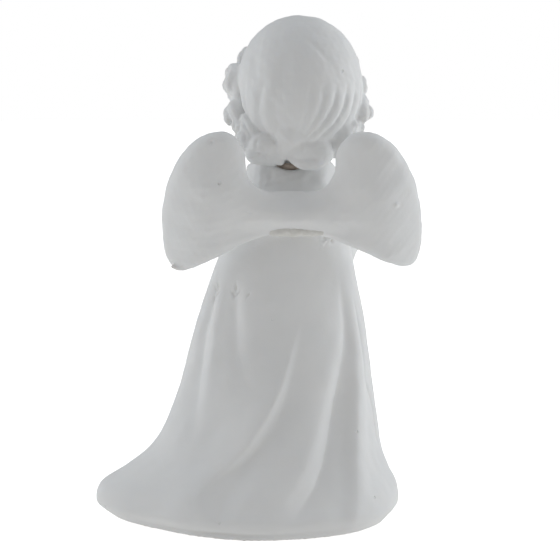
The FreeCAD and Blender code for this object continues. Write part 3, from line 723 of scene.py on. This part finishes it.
new_piece("wings", *make_wings(), resin, "resin", ["wing_casting"])


def make_bead():
    """The lumpy bead of glue along the lower edge of the saddle."""
    low, high = node_box("wing_glue_bead")
    centre_x, centre_z = (low[0] + high[0]) / 2 + 1.2, (low[2] + high[2]) / 2 + 1.6
    clay = Clay((centre_x - 13, 18, centre_z - 4), (centre_x + 13, 30, centre_z + 4), 0.22)
    line = [(centre_x + u * 9.2, 22.8 + 0.4 * math.sin(3 * u), centre_z - 0.6 * u * u)
            for u in np.linspace(-1, 1, 15)]
    clay.join(tube(line, [0.5 + 1.05 * (1 - abs(u) ** 3) + 0.15 * math.sin(9 * u)
                          for u in np.linspace(-1, 1, 15)]))
    # It was pressed up into the joint behind the bead.
    clay.join(tube([(x, y - 0.5, z + 1.0) for x, y, z in line], [1.7] * len(line)), 1.4)
    clay.unevenness(0.15, 2.4, 31)
    return clay.surface()


new_piece("wing_glue", *make_bead(), pale_glue, "glue", ["wing_glue_bead"])


# ---- head ----

HEAD = np.array((-3.8, -1.0, 171.6))
HAIR_RADII = np.array((24.7, 25.6, 28.9))
FACE_TURN = 9.0


def on_head(azimuth, height, out=0.0):
    """A point over the hair's surface: degrees round from the back towards +X, height over the centre."""
    level = math.sqrt(max(0.02, 1 - (height / HAIR_RADII[2]) ** 2))
    a = math.radians(azimuth)
    point = HAIR_RADII * (level * math.sin(a), level * math.cos(a), height / HAIR_RADII[2])
    normal = unit(point / HAIR_RADII**2)
    return HEAD + point + normal * out


def normal_at(azimuth, height):
    return unit(on_head(azimuth, height, 1.0) - on_head(azimuth, height))


def curl(clay, centre, axis, size, hand=1, turns=1.25, start=0.0, flat=0.42):
    """A coiled lock: a tapering rope that winds inwards and rises unevenly, with strand lines along it."""
    axis = unit(axis)
    side = unit(np.cross(axis, (0.13, 0.2, 1)))
    up = np.cross(axis, side)
    squash = rng.uniform(0.82, 1.12)
    lean = rng.uniform(-0.25, 0.25, 2)
    lumps = rng.uniform(0, 2 * math.pi, 3)
    steps = 34
    line, thick = [], []
    for t in np.linspace(0, 1, steps):
        angle = start + hand * 2 * math.pi * turns * t
        radius = size * (0.60 * (1 - t) ** 0.8 + 0.07) * (1 + 0.10 * math.sin(2 * angle + lumps[0]))
        across, along = radius * math.cos(angle) / squash, radius * math.sin(angle) * squash
        height = size * (flat * t + 0.06 * math.sin(3 * angle + lumps[1])) + lean @ (across, along)
        line.append(centre + across * side + along * up + axis * height)
        thick.append(size * (0.42 - 0.13 * t) * min(1, 0.5 + 3 * t) * (1 + 0.09 * math.sin(5 * t + lumps[2])))
    clay.join(ellipsoid(centre - axis * size * 0.15, (size * 0.85, size * 0.85, size * 0.6),
                        (side, up, axis)), 1.0)
    clay.join(tube(line, thick), 0.45)
    line, thick = np.array(line), np.array(thick)
    for offset in (-0.55, 0.05, 0.6):
        rail = [p + axis * r * 0.8 + unit(p - centre - axis * ((p - centre) @ axis) + 1e-6) * r * offset
                for p, r in zip(line, thick)]
        clay.stroke(rail[2:-3], 0.05 * size + 0.12, 0.045 * size)


def lock(clay, points, radii, strands=2, groove=0.4, blend=0.4):
    """A long lock of hair along a line, with strand lines."""
    line = smooth_path(points, 6)
    at = np.linspace(0, 1, len(line))
    thick = np.interp(at, np.linspace(0, 1, len(radii)), radii)
    clay.join(tube(line, thick), blend)
    way = np.gradient(line, axis=0)
    outward = (line - HEAD) / HAIR_RADII**2
    outward /= np.linalg.norm(outward, axis=1)[:, None]
    side = np.cross(way, outward)
    side /= np.maximum(np.linalg.norm(side, axis=1), 1e-6)[:, None]
    for k in range(strands):
        offset = (k + 0.5) / strands * 1.5 - 0.75
        rail = line + outward * (thick * math.sqrt(1 - offset**2))[:, None] + side * (thick * offset)[:, None]
        clay.stroke(rail, 0.45, groove)


# The curls: degrees round from the back, height over the centre, size, how far out, hand, start of the coil.
CURLS = [
    # the left side, from the top down
    (110, 12.5, 6.0, 0.8, 1, 0.5), (97, 2.6, 9.6, 1.9, -1, 2.2), (112, -6.5, 6.8, 1.8, 1, 4.0),
    (86, -9.5, 8.2, 2.9, 1, 0.9), (68, -14.5, 6.6, 2.2, -1, 1.0), (90, -18.5, 7.2, 4.2, -1, 3.0),
    (113, -17.5, 6.6, 2.8, 1, 2.0), (126, -2.5, 5.8, 2.2, -1, 1.0), (126, 7.5, 5.6, 1.4, 1, 3.0),
    # the right side
    (-100, 0.5, 6.4, -0.1, 1, 2.0), (-94, -8.0, 8.4, 1.4, -1, 1.2), (-117, 10.5, 5.8, -0.6, -1, 0.2),
    (-122, 1.5, 6.0, 1.9, 1, 5.0), (-114, -11.0, 6.6, 1.8, 1, 3.2), (-98, -18.5, 6.8, 2.6, -1, 1.4),
    (-120, -19.0, 6.0, 2.2, -1, 0.4), (-82, -14.5, 6.0, 1.4, 1, 2.6),
    # the fringe over the forehead
    (136, 16.0, 6.2, 1.0, 1, 1.2), (152, 18.6, 6.2, 1.3, -1, 2.6), (168, 19.6, 6.6, 1.5, 1, 0.2),
    (-175, 19.8, 6.0, 1.6, -1, 4.0), (-158, 18.8, 6.6, 1.3, 1, 3.0), (-142, 16.8, 6.2, 1.1, -1, 1.6),
    (-129, 11.5, 5.6, 1.2, 1, 0.8),
]
# Face boundary of the cap: degrees round from the back, height over the centre of its lower edge.
CAP_EDGE = [
    (-180, 18.5), (-125, 13), (-100, 6), (-78, -12.5), (-50, -20.5), (5, -20.8), (22, -26), (45, -19),
    (68, -6), (84, 7), (110, 15.5), (180, 18.5),
]
COMB_COUNT, COMB_STEP = 6, -12.4  # grooves on the right of the nape and the degrees between them
# Single lines pressed into the cap: (degrees round from the back, height), width and depth.
CAP_MARKS = [
    ([(34, 3), (41, -9), (35, -20)], 1.6, 0.45), ([(58, 4), (59, -5), (52, -14)], 1.2, 0.3),
    ([(-9, 18.5), (-18, 15), (-28, 10.6)], 1.2, 0.38), ([(-28, 10.6), (-40, 1)], 1.6, 0.2),
    ([(50, 14), (47, 6), (50, -4)], 2.4, 0.3), ([(12, 12), (22, -6), (20, -15)], 3.0, 0.3),
    ([(70, 8), (73, 0), (70, -6)], 1.0, 0.3), ([(28, 2), (33, -10), (31, -16)], 2.0, -0.25),
    ([(46, 3), (50, -10), (44, -16)], 2.0, -0.3),
]


def combed_lines():
    """Grooves that fall from the side of the cap and sweep to the nape, with a ridge between each pair."""
    lines = []
    for k in range(COMB_COUNT):
        for shift, width, depth in ((0, 0.95, 0.72), (0.5, 1.35, -0.42)):
            start = -8.5 + COMB_STEP * (k + shift)
            sweep = 12 + 16 * math.sin(math.pi * min(1, (k + shift) / 5))
            path = [(start + sweep * f ** 2.3, 1.5 - 20.5 * f) for f in (0, 0.35, 0.7, 1)]
            lines.append((path, width, depth * (1 - 0.5 * abs(k + shift - 2.5) / 3)))
    return lines


def head_line(points, out=0.0, steps=6):
    return [on_head(a, h, out) for a, h in smooth_path(points, steps)]


def make_head():
    clay = Clay((-39, -37, 133), (32, 32, 203), 0.44)
    # Skull under the hair and the neck.
    clay.join(ellipsoid(HEAD + (0, -0.5, -1.2), HAIR_RADII - (2.4, 2.4, 2.6)), 0.5)
    neck = [(-2.0, 0.5, 134), (-2.2, 0.2, 142), (-3.0, -0.5, 150), (-3.5, -1.0, 156)]
    clay.join(tube(neck, [8.4, 7.8, 9.0, 12]), 2.0)
    add_face(clay)
    add_cap(clay)
    for azimuth, height, size, out, hand, start in CURLS:
        clay_out = out - 0.25 * size
        facing = normal_at(azimuth, height * 0.6)
        curl(clay, on_head(azimuth, height, clay_out), facing, size, hand, start=start)
    add_nape(clay)
    clay.unevenness(0.05, 3.4, 41)
    clay.unevenness(0.10, 9, 42)
    return clay.surface()


def add_cap(clay):
    """The smooth cap of hair: the full ellipsoid above an edge whose height changes round the head."""
    cut, (x, y, z) = clay.block(clay.low, clay.low + 1000)
    shell = ellipsoid(HEAD, HAIR_RADII, power=2.12).distance(x, y, z)
    azimuth = np.degrees(np.arctan2(x - HEAD[0], y - HEAD[1]))
    edge = HEAD[2] + smooth_curve(CAP_EDGE, azimuth)
    below = (edge - z) * 0.8
    k = 1.6
    h = np.clip(0.5 + 0.5 * (below - shell) / k, 0, 1)
    cap = shell + (below - shell) * h + k * h * (1 - h)
    a = clay.field[cut]
    k = 0.5
    h = np.clip(0.5 + 0.5 * (a - cap) / k, 0, 1)
    clay.field[cut] = a + (cap - a) * h - k * h * (1 - h)
    clay.field = np.clip(clay.field, -clay.FAR, clay.FAR).astype(np.float32)
    for points, width, depth in combed_lines() + CAP_MARKS:
        line = head_line(points)
        at = np.linspace(0, 1, len(line))
        middle = [p for p, t in zip(line, at) if 0.12 < t < 0.9]
        clay.stroke(line, width, depth * 0.35)
        clay.stroke(middle, width, depth * 0.65)
    # A faint ring round the crown.
    ring = [on_head(a, 25.8) for a in range(0, 361, 12)]
    clay.stroke(ring, 1.2, 0.12)


def swirl(clay, centre, axis, radii, turns, hand=1, start=0.0, groove=0.6, lean=0.0):
    """A rounded mass of hair with a spiral combed into it."""
    axis = unit(axis)
    side = unit(np.cross(axis, (math.sin(lean), 0.1, math.cos(lean))))
    up = np.cross(axis, side)
    clay.join(ellipsoid(centre, radii, (side, up, axis)), 0.8)
    for offset in (0.0, math.pi):
        line = []
        for t in np.linspace(0.28, 0.94, 22):
            angle = start + offset + hand * 2 * math.pi * turns * t
            u, v = t * math.cos(angle), t * math.sin(angle)
            dome = math.sqrt(1 - t * t)
            line.append(centre + side * u * radii[0] + up * v * radii[1] + axis * radii[2] * dome)
        clay.stroke(line, 0.55, groove)


def add_nape(clay):
    """The big locks at the nape, under the edge of the cap."""
    # hair behind the neck, and under the locks at each side
    clay.join(ellipsoid((-3.6, 8.5, 151.5), (14.5, 9.0, 7.8)), 1.0)
    clay.join(ellipsoid(on_head(66, -17, -3.0), (7, 7, 7)), 1.0)
    clay.join(ellipsoid(on_head(-62, -18, -2.4), (7.5, 7, 7)), 1.0)
    # the tip of the cap runs down between the locks
    lock(clay, [(0.0, 15.2, 153.5), (2.4, 14.2, 150.2), (4.0, 13.6, 146.4)], [5.8, 4.4, 2.4], 0, 0, 2.5)
    # bottom left: strands from the side, and a fat curl that turns under
    lock(clay, [on_head(76, -14, 1.2), on_head(68, -18, 2.2), on_head(64, -22, 2.4)],
         [2.6, 3.2, 2.6], 2, 0.45)
    lock(clay, [on_head(64, -11, 0.2), on_head(54, -15.5, 1.2), on_head(50, -19.5, 1.8)],
         [2.4, 3.0, 2.6], 2, 0.45)
    swirl(clay, np.array((10.2, 14.0, 150.2)), (0.3, 1, -0.12), (6.2, 5.4, 4.8), 0.6, -1, 0.8, 0.5)
    swirl(clay, np.array((12.6, 13.0, 147.2)), (0.4, 1, -0.3), (5.0, 4.2, 4.4), 0.5, -1, 2.6, 0.45)
    clay.join(ellipsoid((7.4, 11.4, 145.9), (5.4, 4.2, 3.8)), 1.2)
    clay.join(ellipsoid(on_head(80, -20, 1.2), (5.2, 5.2, 5.2)), 1.0)
    swirl(clay, np.array((16.2, 9.8, 152.4)), (0.8, 1, -0.1), (5.2, 5.8, 4.4), 0.7, 1, 2.0, 0.55)
    # bottom right: a broad roll, folded back on itself
    swirl(clay, np.array((-4.4, 14.6, 148.4)), (0.05, 1, -0.1), (6.0, 5.6, 5.0), 0.5, 1, 2.2, 0.3)
    swirl(clay, np.array((-10.2, 13.8, 147.6)), (-0.25, 1, -0.15), (7.0, 5.8, 4.9), 0.6, -1, 0.4, 0.42)
    lock(clay, [(1.2, 14.8, 146.4), (-4.6, 17.0, 143.6), (-10.0, 16.6, 143.4), (-14.6, 13.4, 145.6)],
         [1.4, 2.4, 2.4, 1.6], 1, 0.4, 0.8)
    # the small swirl beside it and the strands that sweep down to it
    swirl(clay, np.array((-17.2, 9.6, 150.0)), (-0.6, 1, -0.1), (4.6, 5.0, 4.4), 0.9, 1, 2.5, 0.7)
    for azimuth, drop in ((-64, -13.5), (-74, -13.5), (-85, -13.5)):
        lock(clay, [on_head(azimuth, drop, 0.5), on_head(azimuth + 9, drop - 4.4, 1.6),
                    on_head(azimuth + 16, drop - 7.6, 1.9), on_head(azimuth + 21, drop - 10.2, 1.2)],
             [2.6, 3.0, 2.6, 1.6], 2, 0.4)
    # the little nub under the tip
    clay.join(ellipsoid((3.8, 13.6, 144.2), (1.5, 1.8, 1.8)), 0.8)


def add_face(clay):
    """A calm child's face of standard proportions, with closed eyes, built to one side and mirrored."""
    turn = rotation((0, 0, 1), FACE_TURN)
    left, ahead, up = turn @ (1, 0, 0), turn @ (0, -1, 0), np.array((0, 0, 1.0))

    def at(across, forward, rise):
        return HEAD + across * left + forward * ahead + rise * up

    axes = (left, ahead, up)
    # the mass of the face: upper oval, cheeks, jaw and chin
    clay.join(ellipsoid(at(0, 6.0, 0.5), (19.0, 18.6, 20.5), axes), 2.0)
    clay.join(ellipsoid(at(0, 8.2, -10.5), (14.2, 14.0, 12.6), axes), 4.5)
    clay.join(ellipsoid(at(0, 17.2, -20.6), (4.6, 4.4, 3.8), axes), 4.5)
    for side in (1, -1):
        clay.join(ellipsoid(at(side * 8.8, 15.2, -9.2), (6.6, 6.6, 6.4), axes), 3.5)
        # eye socket, then the ball and its closed lids
        clay.dent(at(side * 7.4, 23.4, -1.2), (6.2, 4.6, 4.4), 2.6, axes)
        ball = at(side * 7.8, 17.4, -2.2)
        clay.join(ellipsoid(ball, (4.9, 4.9, 3.9), axes), 0.7)
        steps = np.linspace(-1, 1, 13)
        lash = [at(side * (7.8 + 4.5 * u), 22.0 - 2.0 * u * u - 0.3 * u, -3.1 - 1.5 * (1 - u * u))
                for u in steps]
        clay.stroke(lash, 0.55, 0.95)
        lower = [at(side * (7.8 + 4.2 * u), 21.6 - 2.0 * u * u - 0.3 * u, -4.3 - 1.7 * (1 - u * u))
                 for u in steps]
        clay.stroke(lower, 0.7, -0.30)
        fold = [at(side * (7.8 + 4.7 * u), 21.6 - 1.9 * u * u, 0.6 + 1.3 * (1 - u * u)) for u in steps]
        clay.stroke(fold, 0.65, 0.55)
        brow = [at(side * (3.2 + 10.4 * u), 24.3 - 5.2 * u**2, 4.0 + 3.6 * u - 3.8 * u * u)
                for u in np.linspace(0, 1, 11)]
        clay.stroke(brow, 1.3, -0.75)
        # wing of the nose and nostril
        clay.join(ellipsoid(at(side * 2.1, 24.6, -9.6), (1.55, 2.2, 1.45), axes), 0.9)
        clay.dent(at(side * 1.25, 26.3, -11.0), (0.7, 1.2, 0.6), 1.2, axes)
        # corner of the mouth and the line from the nose to it
        clay.dent(at(side * 5.0, 22.0, -15.2), (1.4, 2.2, 1.1), 1.0, axes)
        clay.stroke([at(side * 3.8, 24.0, -9.8), at(side * 5.6, 22.6, -12.2), at(side * 6.6, 21.0, -14.6)],
                    1.2, 0.4)
    # nose
    clay.join(tube([at(0, 22.4, 2.2), at(0, 24.0, -3.4), at(0, 25.9, -8.4)], [1.6, 1.6, 2.1]), 2.2)
    clay.join(ellipsoid(at(0, 26.1, -9.0), (2.15, 2.1, 1.95), axes), 0.9)
    # lips
    steps = np.linspace(-1, 1, 15)
    upper = [at(4.7 * u, 22.4 + 1.5 * (1 - u * u), -14.2 + 0.3 * u * u - 0.4 * math.exp(-(u / 0.2) ** 2))
             for u in steps]
    clay.join(tube(upper, [0.5 + 0.85 * (1 - abs(u) ** 2.2) for u in steps]), 0.8)
    lower = [at(4.0 * u, 22.0 + 1.5 * (1 - u * u), -16.9 + 0.5 * u * u) for u in steps]
    clay.join(tube(lower, [0.6 + 1.05 * (1 - abs(u) ** 2.2) for u in steps]), 0.8)
    parting = [at(5.2 * u, 24.6 - 2.0 * u * u, -15.5 - 0.25 * math.cos(3.1 * u) + 0.5 * u * u) for u in steps]
    clay.stroke(parting, 0.5, 1.0)
    clay.stroke([at(0, 25.0, -11.6), at(0, 24.2, -13.0)], 0.8, 0.5)
    clay.stroke([at(-2.6, 22.6, -19.0), at(0, 23.0, -19.4), at(2.6, 22.6, -19.0)], 1.3, 0.8)


new_piece("head", *make_head(), resin, "resin", ["head_casting"])


def make_neck_glue():
    """Glue that was squeezed out round the neck: a lumpy, sagging ring."""
    low, high = node_box("neck_glue_ring")
    centre = (low + high) / 2
    clay = Clay(centre - (15, 15, 4), centre + (15, 15, 5.5), 0.35)
    ring, thick = [], []
    for k in range(49):
        a = 2 * math.pi * k / 48
        at_back = max(0, math.sin(a))
        sag = -0.2 + 1.8 * at_back + 0.3 * math.sin(5 * a)
        ring.append(centre + (8.9 * math.cos(a), 8.6 * math.sin(a), sag))
        thick.append(0.8 + 1.3 * at_back + 0.2 * math.sin(3 * a + 1) + 0.15 * math.sin(7 * a))
    clay.join(tube(ring, thick), 0.6)
    clay.unevenness(0.25, 3.5, 51)
    return clay.surface()


new_piece("neck_glue", *make_neck_glue(), glue, "glue", ["neck_glue_ring"])


# ---- sleeves and hands ----

# Sections of the left sleeve from the shoulder to the cuff: centre, half its width and half its height.
SLEEVE = [
    ((9.5, -0.5, 133.0), 6.0, 5.6), ((16.0, -2.2, 130.0), 6.9, 7.0), ((20.6, -4.8, 123.5), 7.3, 8.2),
    ((22.0, -9.6, 115.8), 7.4, 9.8), ((19.6, -16.0, 110.8), 7.1, 11.4), ((14.4, -21.8, 109.4), 6.7, 12.4),
    ((8.2, -25.4, 111.0), 6.4, 12.9),
]


def make_sleeve(side):
    """A wide sleeve: a loft from ring to ring, draped folds at the elbow, and a hollow cuff with a hem."""
    centres = smooth_path([c for c, _, _ in SLEEVE], 14) * (side, 1, 1)
    at = np.linspace(0, len(SLEEVE) - 1, len(centres))
    across = smooth_curve([(k, s[1]) for k, s in enumerate(SLEEVE)], at)
    upright = smooth_curve([(k, s[2]) for k, s in enumerate(SLEEVE)], at)
    way = np.gradient(centres, axis=0)
    way /= np.linalg.norm(way, axis=1)[:, None]
    columns = 150
    around = np.linspace(0, 2 * math.pi, columns, endpoint=False)
    rings = []
    share = np.linspace(0, 1, len(centres))

    def ring(k, scale=1.0, back=0.0, fold_share=None):
        t = share[k] if fold_share is None else fold_share
        sideways = unit(np.cross((0, 0, 1), way[k]))
        upward = np.cross(way[k], sideways)
        c, s = np.cos(around), np.sin(around)
        low = np.clip(-s, 0, 1)
        # folds hang in curves from the elbow and the forearm
        folds = (1.1 * np.sin(5.0 * around + 6 * t) * ramp(t, 0.25, 0.6) * (0.3 + 0.7 * low)
                 + 0.6 * np.sin(3 * around - 9 * t + 1) * ramp(t, 0.1, 0.4)
                 + 0.9 * np.sin(26 * t + 2.2 * s) * np.exp(-((t - 0.42) / 0.17) ** 2) * (0.5 - 0.5 * s))
        reach_across = (across[k] + folds) * scale
        raised = np.clip(s, 0, 1) * ramp(t, 0.5, 1.0)
        reach_up = (upright[k] * (1 - 0.36 * raised) + folds + 1.2 * low * ramp(t, 0.6, 1.0)) * scale
        return (centres[k] - way[k] * back + np.outer(c * reach_across, sideways)
                + np.outer(s * reach_up, upward))

    for k in range(len(centres)):
        flare = 1 + 0.07 * ramp(share[k], 0.9, 1.0)
        rings.append(ring(k, flare))
    last = len(centres) - 1
    # the cuff's rounded rim and its hollow
    for scale, back in ((1.085, -0.6), (1.05, -1.25), (0.97, -1.3), (0.90, -0.7), (0.865, 0.6), (0.84, 3.0),
                        (0.78, 6.0), (0.5, 8.5)):
        rings.append(ring(last, scale, back, 1.0))
    grid = np.array(rings)
    x, y, z = grid[..., 0], grid[..., 1], grid[..., 2]
    points, faces = rings_to_mesh(x, y, z, True, True)
    if side < 0:
        faces = [face[::-1] for face in faces]
    return points, faces


for side, word in ((1, "left"), (-1, "right")):
    new_piece(f"{word}_sleeve", *make_sleeve(side), resin, "resin", [f"{word}_arm_casting"])


def make_hands():
    """Two hands, palm to palm, fingers up and leaning forward with the cuffs."""
    lean = rotation((1, 0, 0), 12)
    heel = np.array((0, -27.6, 113.2))
    clay = Clay((-17, -41, 103), (17, -14, 132), 0.30)

    def at(across, back, rise):
        return heel + lean @ np.array((across, back, rise), float)

    for side in (1, -1):
        def here(across, back, rise, side=side):
            return at(side * across, back, rise)
        turn = (lean @ (1, 0, 0), lean @ (0, 1, 0), lean @ (0, 0, 1))
        clay.join(ellipsoid(here(1.7, 0, 3.4), (2.2, 4.5, 6.2), turn), 0.8)
        clay.join(ellipsoid(here(2.3, 2.6, 1.4), (1.9, 2.2, 3.6), turn), 1.2)
        for k, (across, length) in enumerate(((-3.35, 5.9), (-1.15, 7.6), (1.1, 8.0), (3.3, 6.9))):
            root = here(1.9, across * 0.98, 6.6)
            joint = here(1.6, across, 6.6 + length * 0.5)
            tip = here(0.95, across * 0.94, 6.6 + length)
            clay.join(tube([root, joint, tip], [1.32, 1.22, 0.98]), 0.35)
            clay.stroke([joint + (side * 1.1, -0.8, 0), joint + (side * 1.1, 0.8, 0)], 0.35, 0.12)
        clay.join(tube([here(2.5, 3.6, 0.8), here(2.6, 4.9, 4.0), here(1.6, 5.0, 7.4)],
                       [1.6, 1.35, 1.05]), 0.6)
        clay.join(tube([here(2.4, 0.4, 0.5), here(6.0, 1.0, -2.0), here(12.0, 2.4, -3.4)],
                       [3.0, 2.9, 3.1]), 1.5)
    # the line where the palms meet
    for back, rise_to in ((-4.6, 12), (0, 13), (4.6, 10)):
        clay.stroke([at(0, back, 0.5), at(0, back, rise_to)], 0.4, 0.2)
    clay.unevenness(0.04, 3, 61)
    return clay.surface()


new_piece("praying_hands", *make_hands(), resin, "resin", ["praying_hands_casting"])


# ---- carried-over CAD pieces ----

for name in ("neck_dowel", "wing_dowels", "arm_dowels"):
    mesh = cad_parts[name].data
    if not mesh.materials:
        mesh.materials.append(steel)
    for index in range(len(mesh.materials)):
        mesh.materials[index] = steel


# ---- floor, light and camera ----

def make_floor():
    mesh = bpy.data.meshes.new("floor")
    reach = 6.0
    mesh.from_pydata([(-reach, -reach, 0), (reach, -reach, 0), (reach, reach, 0), (-reach, reach, 0)],
                     [], [(0, 1, 2, 3)])
    floor = bpy.data.objects.new("floor", mesh)
    bpy.context.scene.collection.objects.link(floor)
    material, tree, bsdf = nodes_of("white_sweep")
    bsdf.inputs["Base Color"].default_value = (0.86, 0.855, 0.845, 1)
    bsdf.inputs["Roughness"].default_value = 0.9
    bsdf.inputs["Specular IOR Level"].default_value = 0.1
    bright = tree.nodes.new("ShaderNodeEmission")
    bright.inputs["Strength"].default_value = 0.85
    both = tree.nodes.new("ShaderNodeAddShader")
    tree.links.new(bsdf.outputs["BSDF"], both.inputs[0])
    tree.links.new(bright.outputs["Emission"], both.inputs[1])
    mix = tree.nodes.new("ShaderNodeMixShader")
    tree.links.new(tree.nodes.new("ShaderNodeLightPath").outputs["Is Camera Ray"], mix.inputs["Fac"])
    bounce = tree.nodes.new("ShaderNodeEmission")
    bounce.inputs["Color"].default_value = (1.0, 0.975, 0.94, 1)
    bounce.inputs["Strength"].default_value = 0.22
    lifted = tree.nodes.new("ShaderNodeAddShader")
    tree.links.new(bsdf.outputs["BSDF"], lifted.inputs[0])
    tree.links.new(bounce.outputs["Emission"], lifted.inputs[1])
    tree.links.new(lifted.outputs["Shader"], mix.inputs[1])
    tree.links.new(both.outputs["Shader"], mix.inputs[2])
    tree.links.new(mix.outputs["Shader"], tree.nodes["Material Output"].inputs["Surface"])
    mesh.materials.append(material)


def make_world():
    """A white studio that is dimmer straight ahead of the figurine and straight behind it."""
    world = bpy.data.worlds.new("studio")
    bpy.context.scene.world = world
    world.use_nodes = True
    tree = world.node_tree
    tree.nodes.clear()
    way = tree.nodes.new("ShaderNodeTexCoord").outputs["Generated"]
    split = tree.nodes.new("ShaderNodeSeparateXYZ")
    tree.links.new(way, split.inputs["Vector"])
    light = mapped(tree, remap(tree, split.outputs["Y"]), [
        (0.0, (0.20, 0.20, 0.20)), (0.25, (0.34, 0.342, 0.345)), (0.42, (0.86, 0.90, 0.94)),
        (0.58, (0.90, 0.94, 0.985)), (0.76, (0.325, 0.318, 0.31)), (1.0, (0.165, 0.16, 0.155))])
    studio = tree.nodes.new("ShaderNodeBackground")
    tree.links.new(light, studio.inputs["Color"])
    seen = tree.nodes.new("ShaderNodeBackground")
    seen.inputs["Color"].default_value = (1, 1, 1, 1)
    mix = tree.nodes.new("ShaderNodeMixShader")
    tree.links.new(tree.nodes.new("ShaderNodeLightPath").outputs["Is Camera Ray"], mix.inputs["Fac"])
    tree.links.new(studio.outputs["Background"], mix.inputs[1])
    tree.links.new(seen.outputs["Background"], mix.inputs[2])
    output = tree.nodes.new("ShaderNodeOutputWorld")
    tree.links.new(mix.outputs["Shader"], output.inputs["Surface"])


def remap(tree, value):
    """-1 to 1 becomes 0 to 1."""
    node = tree.nodes.new("ShaderNodeMapRange")
    node.inputs["From Min"].default_value = -1
    tree.links.new(value, node.inputs["Value"])
    return node.outputs["Result"]


def area_light(name, place, target, size, power, colour):
    data = bpy.data.lights.new(name, "AREA")
    data.size = size
    data.energy = power
    data.color = colour
    lamp = bpy.data.objects.new(name, data)
    bpy.context.scene.collection.objects.link(lamp)
    lamp.location = [MM * v for v in place]
    lamp.rotation_euler = (Vector(target) * MM - lamp.location).to_track_quat("-Z", "Y").to_euler()


make_floor()
make_world()
area_light("side_right", (-700, -180, 260), (0, 0, 100), 0.5, 1.2, (0.96, 0.985, 1.0))
area_light("side_left", (700, -220, 240), (0, 0, 100), 0.5, 0.8, (0.965, 0.985, 1.0))
area_light("front_key", (-320, -650, 420), (0, 0, 110), 0.35, 0.30, (1.0, 0.99, 0.975))

CAMERA_PLACE = (4, 600, 175)
CAMERA_PITCH = 7.5
FOCAL_LENGTH = 97.1
camera_data = bpy.data.cameras.new("camera")
camera_data.sensor_width = 36
camera_data.lens = FOCAL_LENGTH
camera_data.clip_start = 0.01
camera = bpy.data.objects.new("camera", camera_data)
camera.location = [MM * v for v in CAMERA_PLACE]
camera.rotation_euler = (math.radians(90 - CAMERA_PITCH), 0, math.pi)
bpy.context.scene.collection.objects.link(camera)
bpy.context.scene.camera = camera
bpy.context.scene.view_settings.view_transform = "Standard"
